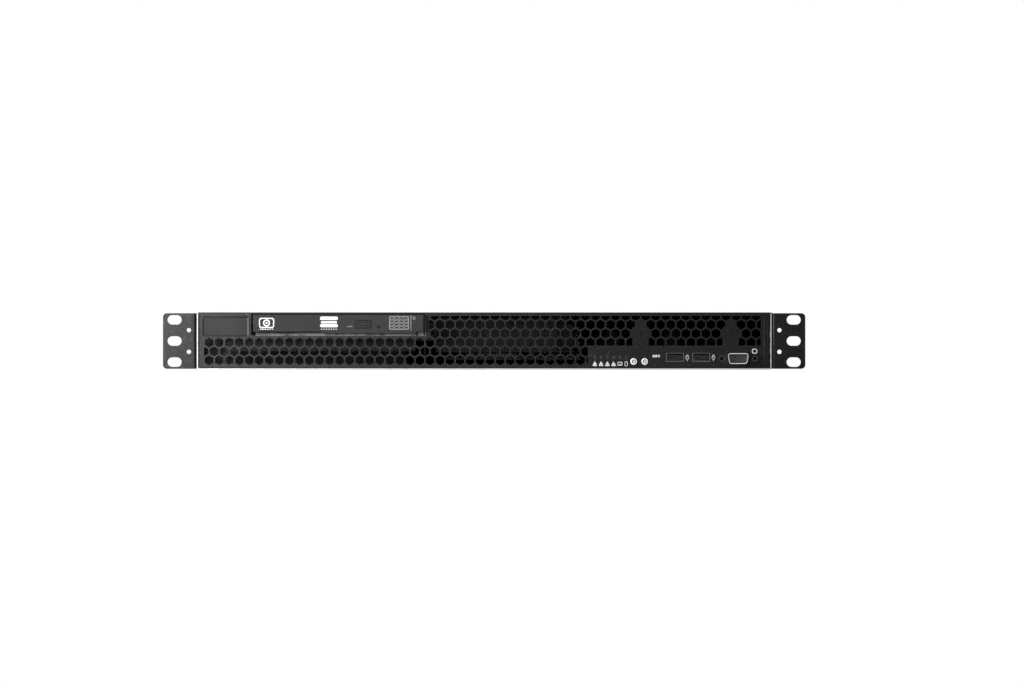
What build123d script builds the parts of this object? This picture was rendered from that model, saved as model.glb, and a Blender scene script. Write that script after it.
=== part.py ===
from build123d import *
import os
from math import sqrt

os.makedirs("parts", exist_ok=True)

# A rack server one unit high and short in depth, in millimetres.
# X runs across, Y from the front to the back and Z up. The origin is the middle of the
# rack's screw pattern, on the back face of the two ears, which lies on the rack's posts.

# Rack ears
ear_width = 25.4
ear_height = 41.8
ear_sheet = 2.0
ear_leg = 38.0
ear_corner = 3.0
ear_bend = 2.5
slot_inset = 8.75
slot_pitch = 15.875
slot_length = 10.5
slot_height = 7.1
handle_hole = 3.2
handle_inset = 19.5
handle_spacing = 16.3

# Sheets of the case and the clearances between its pieces
side_sheet = 0.9
floor_sheet = 1.0
panel_sheet = 1.0
cover_sheet = 0.8
rear_sheet = 1.0
bracket_sheet = 1.0
slide_gap = 0.2
part_gap = 0.3
bend_radius = 1.2
panel_side_gap = 0.1

# What stands one on the other in the height of the case
hard_drive_height = 26.1
stack_gap = 0.4
drive_height = 12.7
drive_top_gap = 1.0
case_height = (
    floor_sheet + hard_drive_height + stack_gap + bracket_sheet + drive_height
    + drive_top_gap + cover_sheet
)
bottom_z = -case_height / 2
top_z = case_height / 2
floor_top = bottom_z + floor_sheet
cover_under = top_z - cover_sheet
wall_top = cover_under - slide_gap

# What stands side by side in the width of the case
drive_inset = 41.5
drive_width = 128.0
drive_aisle = 10.5
hard_drive_width = 101.6
hard_drive_inset = 13.5
bracket_room = 12.9
drive_bay = max(drive_width, hard_drive_inset + hard_drive_width + bracket_room)
fan_aisle = 8.4
fan_count = 3
fan_space = 5.0
fan_margin = 10.0
fan_base = floor_top + bracket_sheet
fan_size = wall_top - fan_base
fan_row = fan_count * fan_size + (fan_count - 1) * fan_space
inner_width = (
    drive_inset + drive_bay + drive_aisle + hard_drive_width + fan_aisle
    + fan_row + fan_margin
)
wall_inside = inner_width / 2
half_width = wall_inside + side_sheet
drive_left = -wall_inside + drive_inset
drive_right = drive_left + drive_width
drive_middle = (drive_left + drive_right) / 2
second_left = drive_left + drive_bay + drive_aisle
second_right = second_left + hard_drive_width
fan_left = second_right + fan_aisle
fan_right = fan_left + fan_row

# What stands one behind the other in the depth of the case
front_room = 26.0
hard_drive_length = 147.0
board_room = 15.0
board_front_margin = 8.0
memory_socket_length = 142.0
memory_rear_room = 22.0
port_depth = 18.0
rear_room = 1.0
board_length = board_front_margin + memory_socket_length + memory_rear_room + port_depth
face_y = -ear_sheet
panel_back = face_y + panel_sheet
hard_drive_front = panel_back + front_room
hard_drive_back = hard_drive_front + hard_drive_length
board_front = hard_drive_back + board_room
board_back = board_front + board_length
rear_inside = board_back + rear_room
rear_y = rear_inside + rear_sheet

# Honeycomb of the front panel
cell_flats = 6.35
cell_pitch = 7.54
cell_rise = 6.69
cell_first_row = 7.0
cell_rows = 6
grid_left_margin = 4.6
grid_right_margin = 7.2
grid_step = 3.0
low_rows = 3
lip_height = 2.7
blank_reach = 7.2

# Front panel openings
port_plate_left = 136.4
drive_opening_gap = 1.2
shelf_radius = 2.5
shelf_drop = 0.3
shelf_depth = 8.0
shelf_end_left = 3.4
shelf_end_right = 5.7
badge_left = 3.5
badge_width = 34.5
badge_height = 14.9
badge_drop = 3.1
badge_corner = 2.2
badge_recess = 0.5
badge_plate_thickness = 0.25
badge_gap = 0.6

# Front sockets, lights and buttons, from the right wall and the case's bottom
light_count = 6
light_pitch = 4.72
light_first = 131.9
light_height = 8.5
light_width = 1.9
light_rise = 1.1
button_size = 5.0
button_flange = 6.4
button_gap = 0.15
button_height = 6.1
power_place = 102.6
locate_place = 94.3
button_proud = 0.6
button_length = 9.6
button_travel = 0.8
usb_width = 13.4
usb_height = 6.5
usb_wall = 0.5
usb_depth = 14.0
usb_tongue = 1.8
usb_middle = 9.25
usb_first = 71.6
usb_second = 51.9
vga_place = 24.1
vga_middle = 8.3
vga_shell_width = 16.0
vga_shell_height = 8.0
vga_shell_wall = 0.5
vga_corner = 2.0
vga_reach = 5.6
vga_pin = 0.9
vga_pin_pitch = 2.29
vga_row_pitch = 1.98
vga_pin_count = 5
d_slant = 80.0
jack_spacing = 24.99
jack_nut_size = 4.5
jack_bore = 2.6
d_flange_width = 30.8
d_flange_height = 12.5
io_board_depth = 13.0
board_sheet = 1.6
io_board_left = 137.0
io_board_right = 3.0
io_board_top = 18.0
io_board_bottom = 2.0
io_tab_width = 12.0
io_tab_top = 32.0
io_spacer_size = 5.5
blank_height = 27.1
first_blank = 97.5
second_blank = 29.8

# Optical drive
drive_length = 126.0
drive_sheet = 0.6
drive_front = 0.4
bezel_thickness = 2.2
bezel_back = face_y - 0.3
bezel_lip_drop = 1.2
bezel_top_rise = 0.1
bezel_edge = 0.3
bezel_lip_left = 52.0
bezel_lip_right = 5.2
tray_rail_sheet = 0.8
tray_rail_height = 4.0
tray_rail_length = 106.0
tray_rail_front = 6.0
tray_length = 124.0
tray_floor_gap = 0.6
tray_height = 9.0
disc_recess = 121.0
disc_recess_depth = 2.2
hub_depth = 63.5
turntable_size = 20.0
hub_cone_size = 14.8
hub_cone_height = 3.2
turntable_height = 1.0
hub_shaft = 3.0
shaft_gap = 0.05
sled_window_start = 12.0
sled_window_end = 66.0
sled_window_width = 31.0
sled_length = 18.0
sled_width = 26.0
sled_height = 5.0
sled_start = 22.5
sled_turn = 225.0
rod_size = 2.0
rod_spread = 11.0
rod_seat = 3.0
lens_size = 6.0
lens_height = 0.8
eject_left = 77.1
eject_width = 11.1
eject_rise = 5.5
eject_drop = 4.3
eject_travel = 0.8
eject_proud = 0.1
eject_depth = 3.0
pinhole_place = 93.8
pinhole_size = 1.3
pinhole_drop = 9.3

# Drive bracket and hard drives
bracket_left_reach = 20.5
bracket_front = 8.0
bracket_length = 116.0
bracket_flange_drop = 13.5
bracket_foot = 8.0
bracket_small_foot = 5.0
bracket_lip = 6.0
hard_drive_lid = 6.0
hard_drive_lid_inset = 3.5
hard_drive_lid_back = 14.0
hard_drive_corner = 3.0
hard_drive_boss = 60.0
cradle_lift = 12.0
cradle_front = 14.0
cradle_back_inset = 7.0
cradle_side = 13.5
cradle_flange_rise = 25.5
cradle_flange_short = 13.0
cradle_foot = 8.0

# Fans
fan_depth = 28.0
fan_wall = 1.4
fan_hub = 17.0
fan_strut = 3.0
fan_strut_depth = 2.6
fan_axle = 3.0
fan_cap = 1.0
fan_blades = 5
fan_blade_sheet = 1.1
fan_blade_chord = 20.0
fan_blade_pitch = 34.0
blade_bite = 1.0
blade_tip_gap = 2.4
fan_back_room = 9.0
fan_bracket_rise = 39.5
fan_bracket_margin = 2.5

# Main board
standoff_height = 6.5
standoff_size = 5.5
standoff_inset = 10.0
board_left_inset = 7.0
board_right_inset = 2.0
socket_size = 46.0
socket_height = 4.0
processor_size = 37.5
processor_height = 2.5
sink_size = 90.0
sink_front = 16.0
sink_base = 3.0
sink_top_gap = 1.7
sink_fins = 26
sink_fin_sheet = 0.6
memory_count = 4
memory_pitch = 9.5
memory_socket_width = 6.6
memory_socket_height = 7.0
memory_gap = 29.0
module_length = 133.35
module_height = 30.0
module_sheet = 1.27
module_lift = 1.0
chip_count = 8
chip_width = 11.0
chip_rise = 9.0
chip_sheet = 1.1
chip_middle = 16.5
latch_length = 5.0
latch_width = 5.0
latch_rise = 17.0
latch_toe = 1.25
latch_heel = 1.5
latch_foot = 2.0
latch_neck_in = 1.0
latch_neck_rise = 6.8
chipset_size = 38.0
chipset_height = 14.0
chipset_fins = 9
chipset_inset = 14.0
chipset_front = 18.0
capacitor_size = 8.0
capacitor_height = 11.5
capacitor_count = 4
capacitor_pitch = 21.0
riser_rise = 29.0
riser_length = 96.0
riser_inset = 7.0
riser_connector = 7.5
riser_connector_height = 11.0
riser_socket_rise = 17.4
header_length = 16.0
header_pitch = 19.0

# Rear wall and its sockets
lan_width = 16.2
lan_height = 13.4
lan_mouth_width = 11.8
lan_mouth_height = 7.0
lan_mouth_depth = 11.0
port_proud = 0.8
port_gap = 0.4
rear_usb_height = 15.6
lan_first = 47.0
lan_second = 66.0
rear_usb_place = 88.0
vga_rear_place = 118.0
serial_place = 152.0
io_opening_left = 34.0
io_opening_right = 172.0
io_opening_rise = 24.0
shield_sheet = 0.6
slot_width = 84.0
slot_rise = 16.0
slot_drop = 3.0
slot_riser_gap = 3.0
slot_cover_overlap = 2.5
vent_flats = 5.0
vent_pitch = 6.2
vent_columns = 5
vent_rows = 5
flange_depth = 6.0
tab_width = 12.0
tab_drop = 11.5
tab_screw_drop = 7.0
tab_screw_size = 3.5
thumb_size = 9.0
thumb_height = 4.0
tab_beside_supply = 9.0
tab_beside_ports = 8.0

# Power supply
supply_width = 81.5
supply_length = 152.0
supply_height = 39.6
supply_sheet = 0.8
supply_inset = 0.5
supply_fan = 36.0
supply_fan_depth = 20.0
supply_blade_chord = 12.5
supply_tip_gap = 1.2
supply_slot_pitch = 5.6
supply_slot_count = 12
supply_slot_length = 27.7
supply_slot_width = 2.4
supply_slot_depth = 1.6
inlet_width = 27.0
inlet_height = 20.0
inlet_depth = 16.0
inlet_wall = 1.4
inlet_cavity_depth = 13.0
inlet_pin_width = 2.0
inlet_pin_height = 4.0
inlet_pin_length = 10.0
inlet_pin_spread = 7.0
inlet_left = 6.0

# Cover and front rail
rail_depth = 20.0
rail_front = 2.2
cover_skirt = 12.5
cover_skirt_gap = 0.2
skirt_setback = 4.0
tongue_depth = 8.0
tongue_width = 16.0
tongue_narrow = 6.0
tongue_left_inset = 20.0
tongue_middle_inset = 35.0
tongue_right_inset = 5.0


def facing(y):
    """Plane at a depth, looking out of the front: local x runs across and local y up."""
    return Plane.XZ.offset(-y)


def backing(y):
    """Plane at a depth, looking out of the back: local x runs against X and local y up."""
    return Plane(origin=(0, y, 0), x_dir=(-1, 0, 0), z_dir=(0, 1, 0))


def level(z):
    """Level plane at a height."""
    return Plane.XY.offset(z)


def across(x):
    """Upright plane along the depth: local x runs back and local y up."""
    return Plane.YZ.offset(x)


def span(left, right, low, high, mode=Mode.ADD):
    """Rectangle between two edges each way."""
    with Locations(((left + right) / 2, (low + high) / 2)):
        Rectangle(abs(right - left), abs(high - low), mode=mode)


def d_face(width, height, corner):
    """D-shaped face of a video or serial socket, its wide side up."""
    with BuildSketch() as outline:
        Trapezoid(width, height, d_slant, rotation=180)
        fillet(outline.vertices(), corner)
    return outline.sketch


# Tray of the case: the floor and both side walls, folded from one sheet
tray_front = face_y + part_gap
with BuildPart() as chassis_tray:
    with BuildSketch(facing(rear_y)):
        span(-half_width, half_width, bottom_z, wall_top)
        span(-wall_inside, wall_inside, floor_top, wall_top, mode=Mode.SUBTRACT)
    extrude(amount=rear_y - tray_front)
    fillet(chassis_tray.edges().filter_by(Axis.Y).group_by(Axis.Z)[0], bend_radius)
chassis_tray.part.label = "chassis_tray"
export_step(chassis_tray.part, "parts/chassis_tray.step")

# Rack ears: an angle of thick sheet on the outside of each side wall
ear_outer = half_width + ear_width
slot_x = ear_outer - slot_inset
handle_x = ear_outer - handle_inset
for side, name in ((-1, "rack_ear_left"), (1, "rack_ear_right")):
    with BuildPart() as rack_ear:
        with BuildSketch(level(-ear_height / 2)) as angle:
            span(side * half_width, side * ear_outer, face_y, 0)
            span(side * half_width, side * (half_width + ear_sheet), face_y, ear_leg)
            fillet(angle.vertices().sort_by_distance((side * half_width, face_y))[0], ear_bend)
            inner_bend = (side * (half_width + ear_sheet), 0)
            fillet(angle.vertices().sort_by_distance(inner_bend)[0], ear_bend - ear_sheet)
        extrude(amount=ear_height)
        tips = rack_ear.edges().filter_by(Axis.Y).sort_by(Axis.X)
        fillet(tips[:2] if side < 0 else tips[-2:], ear_corner)
        with BuildSketch(facing(0)):
            with Locations(*[(side * slot_x, row * slot_pitch) for row in (-1, 0, 1)]):
                SlotOverall(slot_length, slot_height)
            with Locations(*[(side * handle_x, row * handle_spacing / 2) for row in (-1, 1)]):
                Circle(handle_hole / 2)
        extrude(amount=ear_sheet, mode=Mode.SUBTRACT)
    rack_ear.part.label = name
    export_step(rack_ear.part, f"parts/{name}.step")

# Where the rows of the honeycomb lie, and where the drive's opening is
panel_edge = wall_inside - panel_side_gap
panel_low = floor_top
grid_left = -wall_inside + grid_left_margin
grid_right = wall_inside - grid_right_margin
port_plate = wall_inside - port_plate_left
bracket_level = floor_top + hard_drive_height + stack_gap
drive_low = bracket_level + bracket_sheet
drive_top = drive_low + drive_height
opening_left = drive_left - drive_opening_gap - part_gap
opening_right = drive_right + drive_opening_gap - part_gap
shelf_top = drive_low - shelf_drop
shelf_low = shelf_top - shelf_radius
upper_grid_left = opening_right + grid_step
row_heights = [bottom_z + cell_first_row + row * cell_rise for row in range(cell_rows)]
blanks = [
    (wall_inside - first_blank, bottom_z + blank_height),
    (wall_inside - second_blank, bottom_z + blank_height),
]
cell_radius = cell_flats / sqrt(3)


def cells(rows, left, right):
    """Middles of the cells of some rows between two edges, less those at the blanks."""
    found = []
    for row in rows:
        shift = 0.0 if row % 2 else cell_pitch / 2
        count = int((right - grid_left) / cell_pitch) + 2
        for place in range(count):
            x = grid_left + shift + place * cell_pitch
            z = row_heights[row]
            clear = all((x - a) ** 2 + (z - b) ** 2 > blank_reach**2 for a, b in blanks)
            if left - cell_flats / 2 < x < right + cell_flats / 2 and clear:
                found.append((x, z))
    return found


# Openings of the front sockets, lights and buttons
lights = [wall_inside - light_first + n * light_pitch for n in range(light_count)]
light_z = bottom_z + light_height
buttons = [wall_inside - power_place, wall_inside - locate_place]
button_z = bottom_z + button_height
usb_places = [wall_inside - usb_first, wall_inside - usb_second]
usb_z = bottom_z + usb_middle
vga_x = wall_inside - vga_place
vga_z = bottom_z + vga_middle
jacks = [vga_x - jack_spacing / 2, vga_x + jack_spacing / 2]
d_outer = d_face(vga_shell_width, vga_shell_height, vga_corner)
d_inner = d_face(
    vga_shell_width - 2 * vga_shell_wall,
    vga_shell_height - 2 * vga_shell_wall,
    vga_corner - vga_shell_wall,
)
d_opening = d_face(
    vga_shell_width + 2 * part_gap, vga_shell_height + 2 * part_gap, vga_corner
)

# Front panel: one stamped sheet with the honeycomb, rolled at its top and bottom edge
with BuildSketch(facing(panel_back)) as lower_cells:
    with Locations(*cells(range(low_rows), grid_left, port_plate)):
        RegularPolygon(cell_radius, 6, rotation=30)
    span(grid_left, port_plate, bottom_z, row_heights[low_rows - 1], Mode.INTERSECT)
with BuildSketch(facing(panel_back)) as middle_cells:
    with Locations(*cells([low_rows - 1], grid_left, grid_right)):
        RegularPolygon(cell_radius, 6, rotation=30)
    span(grid_left, grid_right, bottom_z, top_z, Mode.INTERSECT)
with BuildSketch(facing(panel_back)) as upper_cells:
    with Locations(*cells(range(low_rows, cell_rows), upper_grid_left, grid_right)):
        RegularPolygon(cell_radius, 6, rotation=30)
    span(upper_grid_left, grid_right, bottom_z, top_z - lip_height, Mode.INTERSECT)
badge_x = -wall_inside + badge_left + badge_width / 2
badge_z = top_z - badge_drop - badge_height / 2
with BuildPart() as front_panel:
    with BuildSketch(across(-panel_edge)) as folds:
        span(face_y, panel_back, panel_low, top_z)
        span(face_y, rail_front - slide_gap, wall_top, top_z)
        span(face_y, flange_depth, panel_low, panel_low + panel_sheet)
        outer_folds = folds.vertices().group_by(Axis.X)[0]
        fillet(outer_folds, bend_radius)
    extrude(amount=2 * panel_edge)
    with BuildSketch(facing(panel_back)):
        span(opening_left, opening_right, shelf_low, wall_top)
        add(lower_cells.sketch)
        add(middle_cells.sketch)
        add(upper_cells.sketch)
        with Locations(*[(x, light_z) for x in lights]):
            Rectangle(light_width + part_gap, light_rise + part_gap)
        with Locations(*[(x, button_z) for x in buttons]):
            Circle(button_size / 2 + button_gap)
        with Locations(*[(x, usb_z) for x in usb_places]):
            Rectangle(usb_width + part_gap, usb_height + part_gap)
        with Locations((vga_x, vga_z)):
            add(d_opening)
        with Locations(*[(x, vga_z) for x in jacks]):
            Circle(jack_nut_size / 2 + button_gap)
    extrude(amount=panel_sheet, mode=Mode.SUBTRACT)
    with BuildSketch(facing(face_y + badge_recess)):
        with Locations((badge_x, badge_z)):
            RectangleRounded(badge_width, badge_height, badge_corner)
    extrude(amount=badge_recess, mode=Mode.SUBTRACT)
    with BuildSketch(across(opening_left + shelf_end_left)) as shelf:
        with BuildLine():
            Line((face_y, shelf_low), (panel_back, shelf_low))
            RadiusArc(
                (panel_back, shelf_low),
                (face_y + shelf_radius, shelf_top - panel_sheet),
                shelf_radius - panel_sheet,
            )
            Line(
                (face_y + shelf_radius, shelf_top - panel_sheet),
                (shelf_depth, shelf_top - panel_sheet),
            )
            Line((shelf_depth, shelf_top - panel_sheet), (shelf_depth, shelf_top))
            Line((shelf_depth, shelf_top), (face_y + shelf_radius, shelf_top))
            RadiusArc((face_y + shelf_radius, shelf_top), (face_y, shelf_low), -shelf_radius)
        make_face()
    extrude(amount=opening_right - opening_left - shelf_end_left - shelf_end_right)
front_panel.part.label = "front_panel"
export_step(front_panel.part, "parts/front_panel.step")

# Plain plate in the panel's rounded recess
with BuildPart() as badge_plate:
    with BuildSketch(facing(face_y + badge_recess)):
        with Locations((badge_x, badge_z)):
            RectangleRounded(
                badge_width - 2 * badge_gap, badge_height - 2 * badge_gap, badge_corner - badge_gap
            )
    extrude(amount=badge_plate_thickness)
badge_plate.part.label = "badge_plate"
export_step(badge_plate.part, "parts/badge_plate.step")

# Front rail: the fixed strip of the roof between the panel and the cover
rail_back = rail_front + rail_depth
with BuildPart() as front_rail:
    with BuildSketch(level(wall_top)):
        span(-half_width, half_width, rail_front, rail_back)
    extrude(amount=top_z - wall_top)
front_rail.part.label = "front_rail"
export_step(front_rail.part, "parts/front_rail.step")

# Tongues of the cover, in lanes that are clear all the way to the back
tongue_top = wall_top - slide_gap
tongue_low = tongue_top - cover_sheet
tongues = [
    (-wall_inside + tongue_left_inset, tongue_width),
    (second_left + tongue_middle_inset, tongue_width),
    (wall_inside - tongue_right_inset, tongue_narrow),
]

# Rear wall: openings for the supply, the slot, the sockets and the air
supply_left = -wall_inside + supply_inset
supply_right = supply_left + supply_width
supply_low = floor_top
supply_top = supply_low + supply_height
board_left = second_left + board_left_inset
board_right = wall_inside - board_right_inset
board_low = floor_top + standoff_height
board_top = board_low + board_sheet
ports_left = board_right - io_opening_right
ports_right = board_right - io_opening_left
ports_low = board_low
ports_high = board_low + io_opening_rise
riser_x = board_left + riser_inset
slot_right = riser_x - slot_riser_gap
slot_left = slot_right - slot_width
slot_high = top_z - slot_drop
slot_low = slot_high - slot_rise
tab_x = [supply_right + tab_beside_supply, ports_right + tab_beside_ports]
tab_screw_z = top_z - tab_screw_drop
supply_fan_x = supply_right - supply_fan / 2 - supply_sheet * 2
supply_fan_z = (supply_low + supply_top) / 2
inlet_x = supply_left + inlet_left + inlet_width / 2
vent_x = (ports_right + tab_beside_ports + tab_width / 2 + board_right) / 2
vent_z = (floor_top + top_z) / 2
with BuildPart() as rear_panel:
    with BuildSketch(backing(rear_inside)):
        span(-wall_inside, wall_inside, floor_top, wall_top)
        with Locations((-supply_fan_x, supply_fan_z)):
            Circle(supply_fan / 2, mode=Mode.SUBTRACT)
        with Locations((-inlet_x, supply_fan_z)):
            Rectangle(inlet_width + part_gap, inlet_height + part_gap, mode=Mode.SUBTRACT)
        span(-slot_right, -slot_left, slot_low, slot_high, mode=Mode.SUBTRACT)
        span(-ports_right, -ports_left, ports_low, ports_high, mode=Mode.SUBTRACT)
        with Locations((-vent_x, vent_z)):
            with HexLocations(vent_pitch / 2, vent_columns, vent_rows):
                RegularPolygon(vent_flats / 2, 6, major_radius=False, mode=Mode.SUBTRACT)
        with Locations(*[(-x, tab_screw_z) for x in tab_x]):
            Circle(tab_screw_size / 2 + shaft_gap, mode=Mode.SUBTRACT)
    extrude(amount=rear_sheet)
    with BuildSketch(facing(rear_inside)):
        span(supply_right + part_gap, wall_inside, floor_top, floor_top + rear_sheet)
        span(supply_right + part_gap, wall_inside, wall_top - rear_sheet, wall_top)
    extrude(amount=flange_depth)
    with BuildSketch(facing(rear_y)):
        for x, width in tongues:
            notch = width / 2 + part_gap
            span(x - notch, x + notch, tongue_low - part_gap, wall_top)
    extrude(amount=rear_sheet + flange_depth, mode=Mode.SUBTRACT)
rear_panel.part.label = "rear_panel"
export_step(rear_panel.part, "parts/rear_panel.step")

# Cover: a flat sheet with a skirt over each side wall, tongues under the rail in front
# and two tabs over the rear wall
cover_front = rail_back + slide_gap
skirt_inside = half_width + cover_skirt_gap
skirt_outside = skirt_inside + cover_sheet
skirt_front = ear_leg + skirt_setback
cover_back = rear_y + slide_gap + cover_sheet
with BuildPart() as top_cover:
    with BuildSketch(level(cover_under)):
        span(-half_width, half_width, cover_front, skirt_front)
        span(-skirt_outside, skirt_outside, skirt_front, rear_y + slide_gap)
    extrude(amount=cover_sheet)
    with BuildSketch(level(top_z - cover_skirt)):
        for side in (-1, 1):
            span(side * skirt_inside, side * skirt_outside, skirt_front, rear_y)
    extrude(amount=cover_skirt)
    fillet(
        top_cover.edges().filter_by(Axis.Y).group_by(Axis.Z)[-1].sort_by(Axis.X)[0], bend_radius
    )
    fillet(
        top_cover.edges().filter_by(Axis.Y).group_by(Axis.Z)[-1].sort_by(Axis.X)[-1], bend_radius
    )
    with BuildSketch(backing(rear_y + slide_gap)):
        with Locations(*[(-x, top_z - tab_drop / 2) for x in tab_x]):
            Rectangle(tab_width, tab_drop)
        with Locations(*[(-x, tab_screw_z) for x in tab_x]):
            Circle(tab_screw_size / 2 + shaft_gap, mode=Mode.SUBTRACT)
    extrude(amount=cover_sheet)
    with BuildSketch(level(tongue_low)):
        for x, width in tongues:
            span(x - width / 2, x + width / 2, cover_front - tongue_depth, cover_front + cover_sheet)
    extrude(amount=cover_sheet)
    with BuildSketch(level(tongue_low)):
        for x, width in tongues:
            span(x - width / 2, x + width / 2, cover_front, cover_front + cover_sheet)
    extrude(amount=top_z - tongue_low)
top_cover.part.label = "top_cover"
export_step(top_cover.part, "parts/top_cover.step")

# Captive thumbscrews in the cover's tabs
with BuildPart() as cover_thumbscrews:
    with BuildSketch(backing(cover_back)):
        with Locations(*[(-x, tab_screw_z) for x in tab_x]):
            Circle(thumb_size / 2)
    extrude(amount=thumb_height)
    with BuildSketch(backing(rear_inside - rear_sheet)):
        with Locations(*[(-x, tab_screw_z) for x in tab_x]):
            Circle(tab_screw_size / 2)
    extrude(amount=cover_back - rear_inside + rear_sheet)
cover_thumbscrews.part.label = "cover_thumbscrews"
export_step(cover_thumbscrews.part, "parts/cover_thumbscrews.step")

# Bracket that carries the optical drive over the first hard drive
bracket_left = drive_left - bracket_left_reach
bracket_right = drive_left + drive_bay + bracket_sheet + part_gap
bracket_back = bracket_front + bracket_length
with BuildPart() as drive_bracket:
    with BuildSketch(facing(bracket_back)):
        span(bracket_left, bracket_right, bracket_level, drive_low)
        span(bracket_left, bracket_left + bracket_sheet, floor_top, drive_low)
        span(bracket_right - bracket_sheet, bracket_right, floor_top, drive_low)
        span(bracket_left - bracket_foot, bracket_left, floor_top, floor_top + bracket_sheet)
        span(bracket_right, bracket_right + bracket_small_foot, floor_top, floor_top + bracket_sheet)
    extrude(amount=bracket_length)
    with BuildSketch(facing(bracket_front + bracket_sheet)):
        span(
            bracket_left,
            drive_right - bracket_lip,
            bracket_level - bracket_flange_drop,
            bracket_level,
        )
    extrude(amount=bracket_sheet)
    with BuildSketch(across(drive_right + part_gap)):
        span(bracket_front + bracket_length / 2, bracket_back, drive_low, drive_low + bracket_lip)
    extrude(amount=bracket_sheet)
    with BuildSketch(across(drive_left - part_gap)):
        span(bracket_front + bracket_length / 2, bracket_back, drive_low, drive_low + bracket_lip)
    extrude(amount=-bracket_sheet)
drive_bracket.part.label = "drive_bracket"
export_step(drive_bracket.part, "parts/drive_bracket.step")

# Optical drive: its case, open in front
drive_back = drive_front + drive_length
with BuildPart() as drive_case:
    with BuildSketch(facing(drive_back)):
        span(drive_left, drive_right, drive_low, drive_top)
    extrude(amount=drive_length)
    fillet(drive_case.edges().filter_by(Axis.Y), bend_radius)
    with BuildSketch(facing(drive_back - drive_sheet)):
        span(
            drive_left + drive_sheet,
            drive_right - drive_sheet,
            drive_low + drive_sheet,
            drive_top - drive_sheet,
        )
    extrude(amount=drive_length, mode=Mode.SUBTRACT)
drive_case.part.label = "drive_case"
export_step(drive_case.part, "parts/drive_case.step")

# Rails between the case and the sliding tray
rail_low = drive_low + drive_sheet + tray_floor_gap + part_gap * 2
with BuildPart() as tray_rails:
    with BuildSketch(facing(tray_rail_front + tray_rail_length)):
        for side in (-1, 1):
            rail_outer = drive_middle + side * (drive_width / 2 - drive_sheet - part_gap)
            rail_inner = rail_outer - side * tray_rail_sheet
            span(rail_outer, rail_inner, rail_low, rail_low + tray_rail_height)
    extrude(amount=tray_rail_length)
tray_rails.part.label = "tray_rails"
export_step(tray_rails.part, "parts/tray_rails.step")

# Disc tray: a moulded slab with the disc's dish, the spindle's well and the sled's window
tray_half = drive_width / 2 - drive_sheet - 2 * part_gap - tray_rail_sheet
tray_low = drive_low + drive_sheet + tray_floor_gap
tray_top = tray_low + tray_height
dish_z = tray_top - disc_recess_depth
tray_back = bezel_back + tray_length
hub_y = bezel_back + hub_depth
turntable_low = dish_z - turntable_height - 2 * part_gap
rod_z = tray_low + sled_height / 2 + part_gap
sled_out = Vector(-sqrt(0.5), -sqrt(0.5), 0)
sled_plane = Plane(
    origin=(drive_middle, hub_y, rod_z), x_dir=(sqrt(0.5), -sqrt(0.5), 0), z_dir=sled_out
)
eject_x = drive_left + eject_left + eject_width / 2
eject_z = drive_top - eject_drop - eject_rise / 2
eject_back = bezel_back - bezel_thickness - eject_proud + eject_depth
with BuildPart() as disc_tray:
    with BuildSketch(level(tray_low)):
        span(drive_middle - tray_half, drive_middle + tray_half, bezel_back, tray_back)
    extrude(amount=tray_height)
    with BuildSketch(level(dish_z)):
        with Locations((drive_middle, hub_y)):
            Circle(disc_recess / 2)
    extrude(amount=disc_recess_depth, mode=Mode.SUBTRACT)
    with BuildSketch(level(turntable_low - part_gap)):
        with Locations((drive_middle, hub_y)):
            Circle(turntable_size / 2 + part_gap)
    extrude(amount=dish_z - turntable_low + part_gap, mode=Mode.SUBTRACT)
    with BuildSketch(level(tray_low)):
        with Locations((drive_middle, hub_y)):
            Circle(hub_shaft / 2 + shaft_gap)
    extrude(amount=tray_height, mode=Mode.SUBTRACT)
    with BuildSketch(level(tray_low)):
        with Locations(Location((drive_middle, hub_y, 0), (0, 0, sled_turn))):
            with Locations(((sled_window_start + sled_window_end) / 2, 0)):
                Rectangle(sled_window_end - sled_window_start, sled_window_width)
    extrude(amount=tray_height, mode=Mode.SUBTRACT)
    with BuildSketch(sled_plane.offset(sled_window_start - rod_seat)):
        with Locations((-rod_spread, 0), (rod_spread, 0)):
            Circle(rod_size / 2)
    extrude(amount=sled_window_end - sled_window_start + 2 * rod_seat)
    with BuildSketch(facing(eject_back + eject_travel + part_gap)):
        with Locations((eject_x, eject_z)):
            Rectangle(eject_width + 2 * part_gap, eject_rise + 2 * part_gap)
    extrude(amount=eject_back + eject_travel + part_gap - bezel_back, mode=Mode.SUBTRACT)
disc_tray.part.label = "disc_tray"
export_step(disc_tray.part, "parts/disc_tray.step")

# Bezel on the front of the disc tray
with BuildPart() as tray_bezel:
    with BuildSketch(facing(bezel_back)):
        span(drive_left, drive_right, drive_low, drive_top + bezel_top_rise)
        span(
            drive_left + bezel_lip_left,
            drive_right - bezel_lip_right,
            drive_low - bezel_lip_drop,
            drive_low,
        )
        with Locations((eject_x, eject_z)):
            Rectangle(eject_width, eject_rise, mode=Mode.SUBTRACT)
        with Locations((drive_left + pinhole_place, drive_top - pinhole_drop)):
            Circle(pinhole_size / 2, mode=Mode.SUBTRACT)
    extrude(amount=bezel_thickness)
    rim = tray_bezel.faces().sort_by(Axis.Y)[0].outer_wire().edges()
    fillet(rim, bezel_edge)
tray_bezel.part.label = "tray_bezel"
export_step(tray_bezel.part, "parts/tray_bezel.step")

# Eject button in the bezel
with BuildPart() as eject_button:
    with BuildSketch(facing(eject_back)):
        with Locations((eject_x, eject_z)):
            Rectangle(eject_width - 2 * button_gap, eject_rise - 2 * button_gap)
    extrude(amount=eject_depth)
    chamfer(eject_button.faces().sort_by(Axis.Y)[0].edges(), button_gap)
eject_button.part.label = "eject_button"
export_step(eject_button.part, "parts/eject_button.step")

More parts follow.
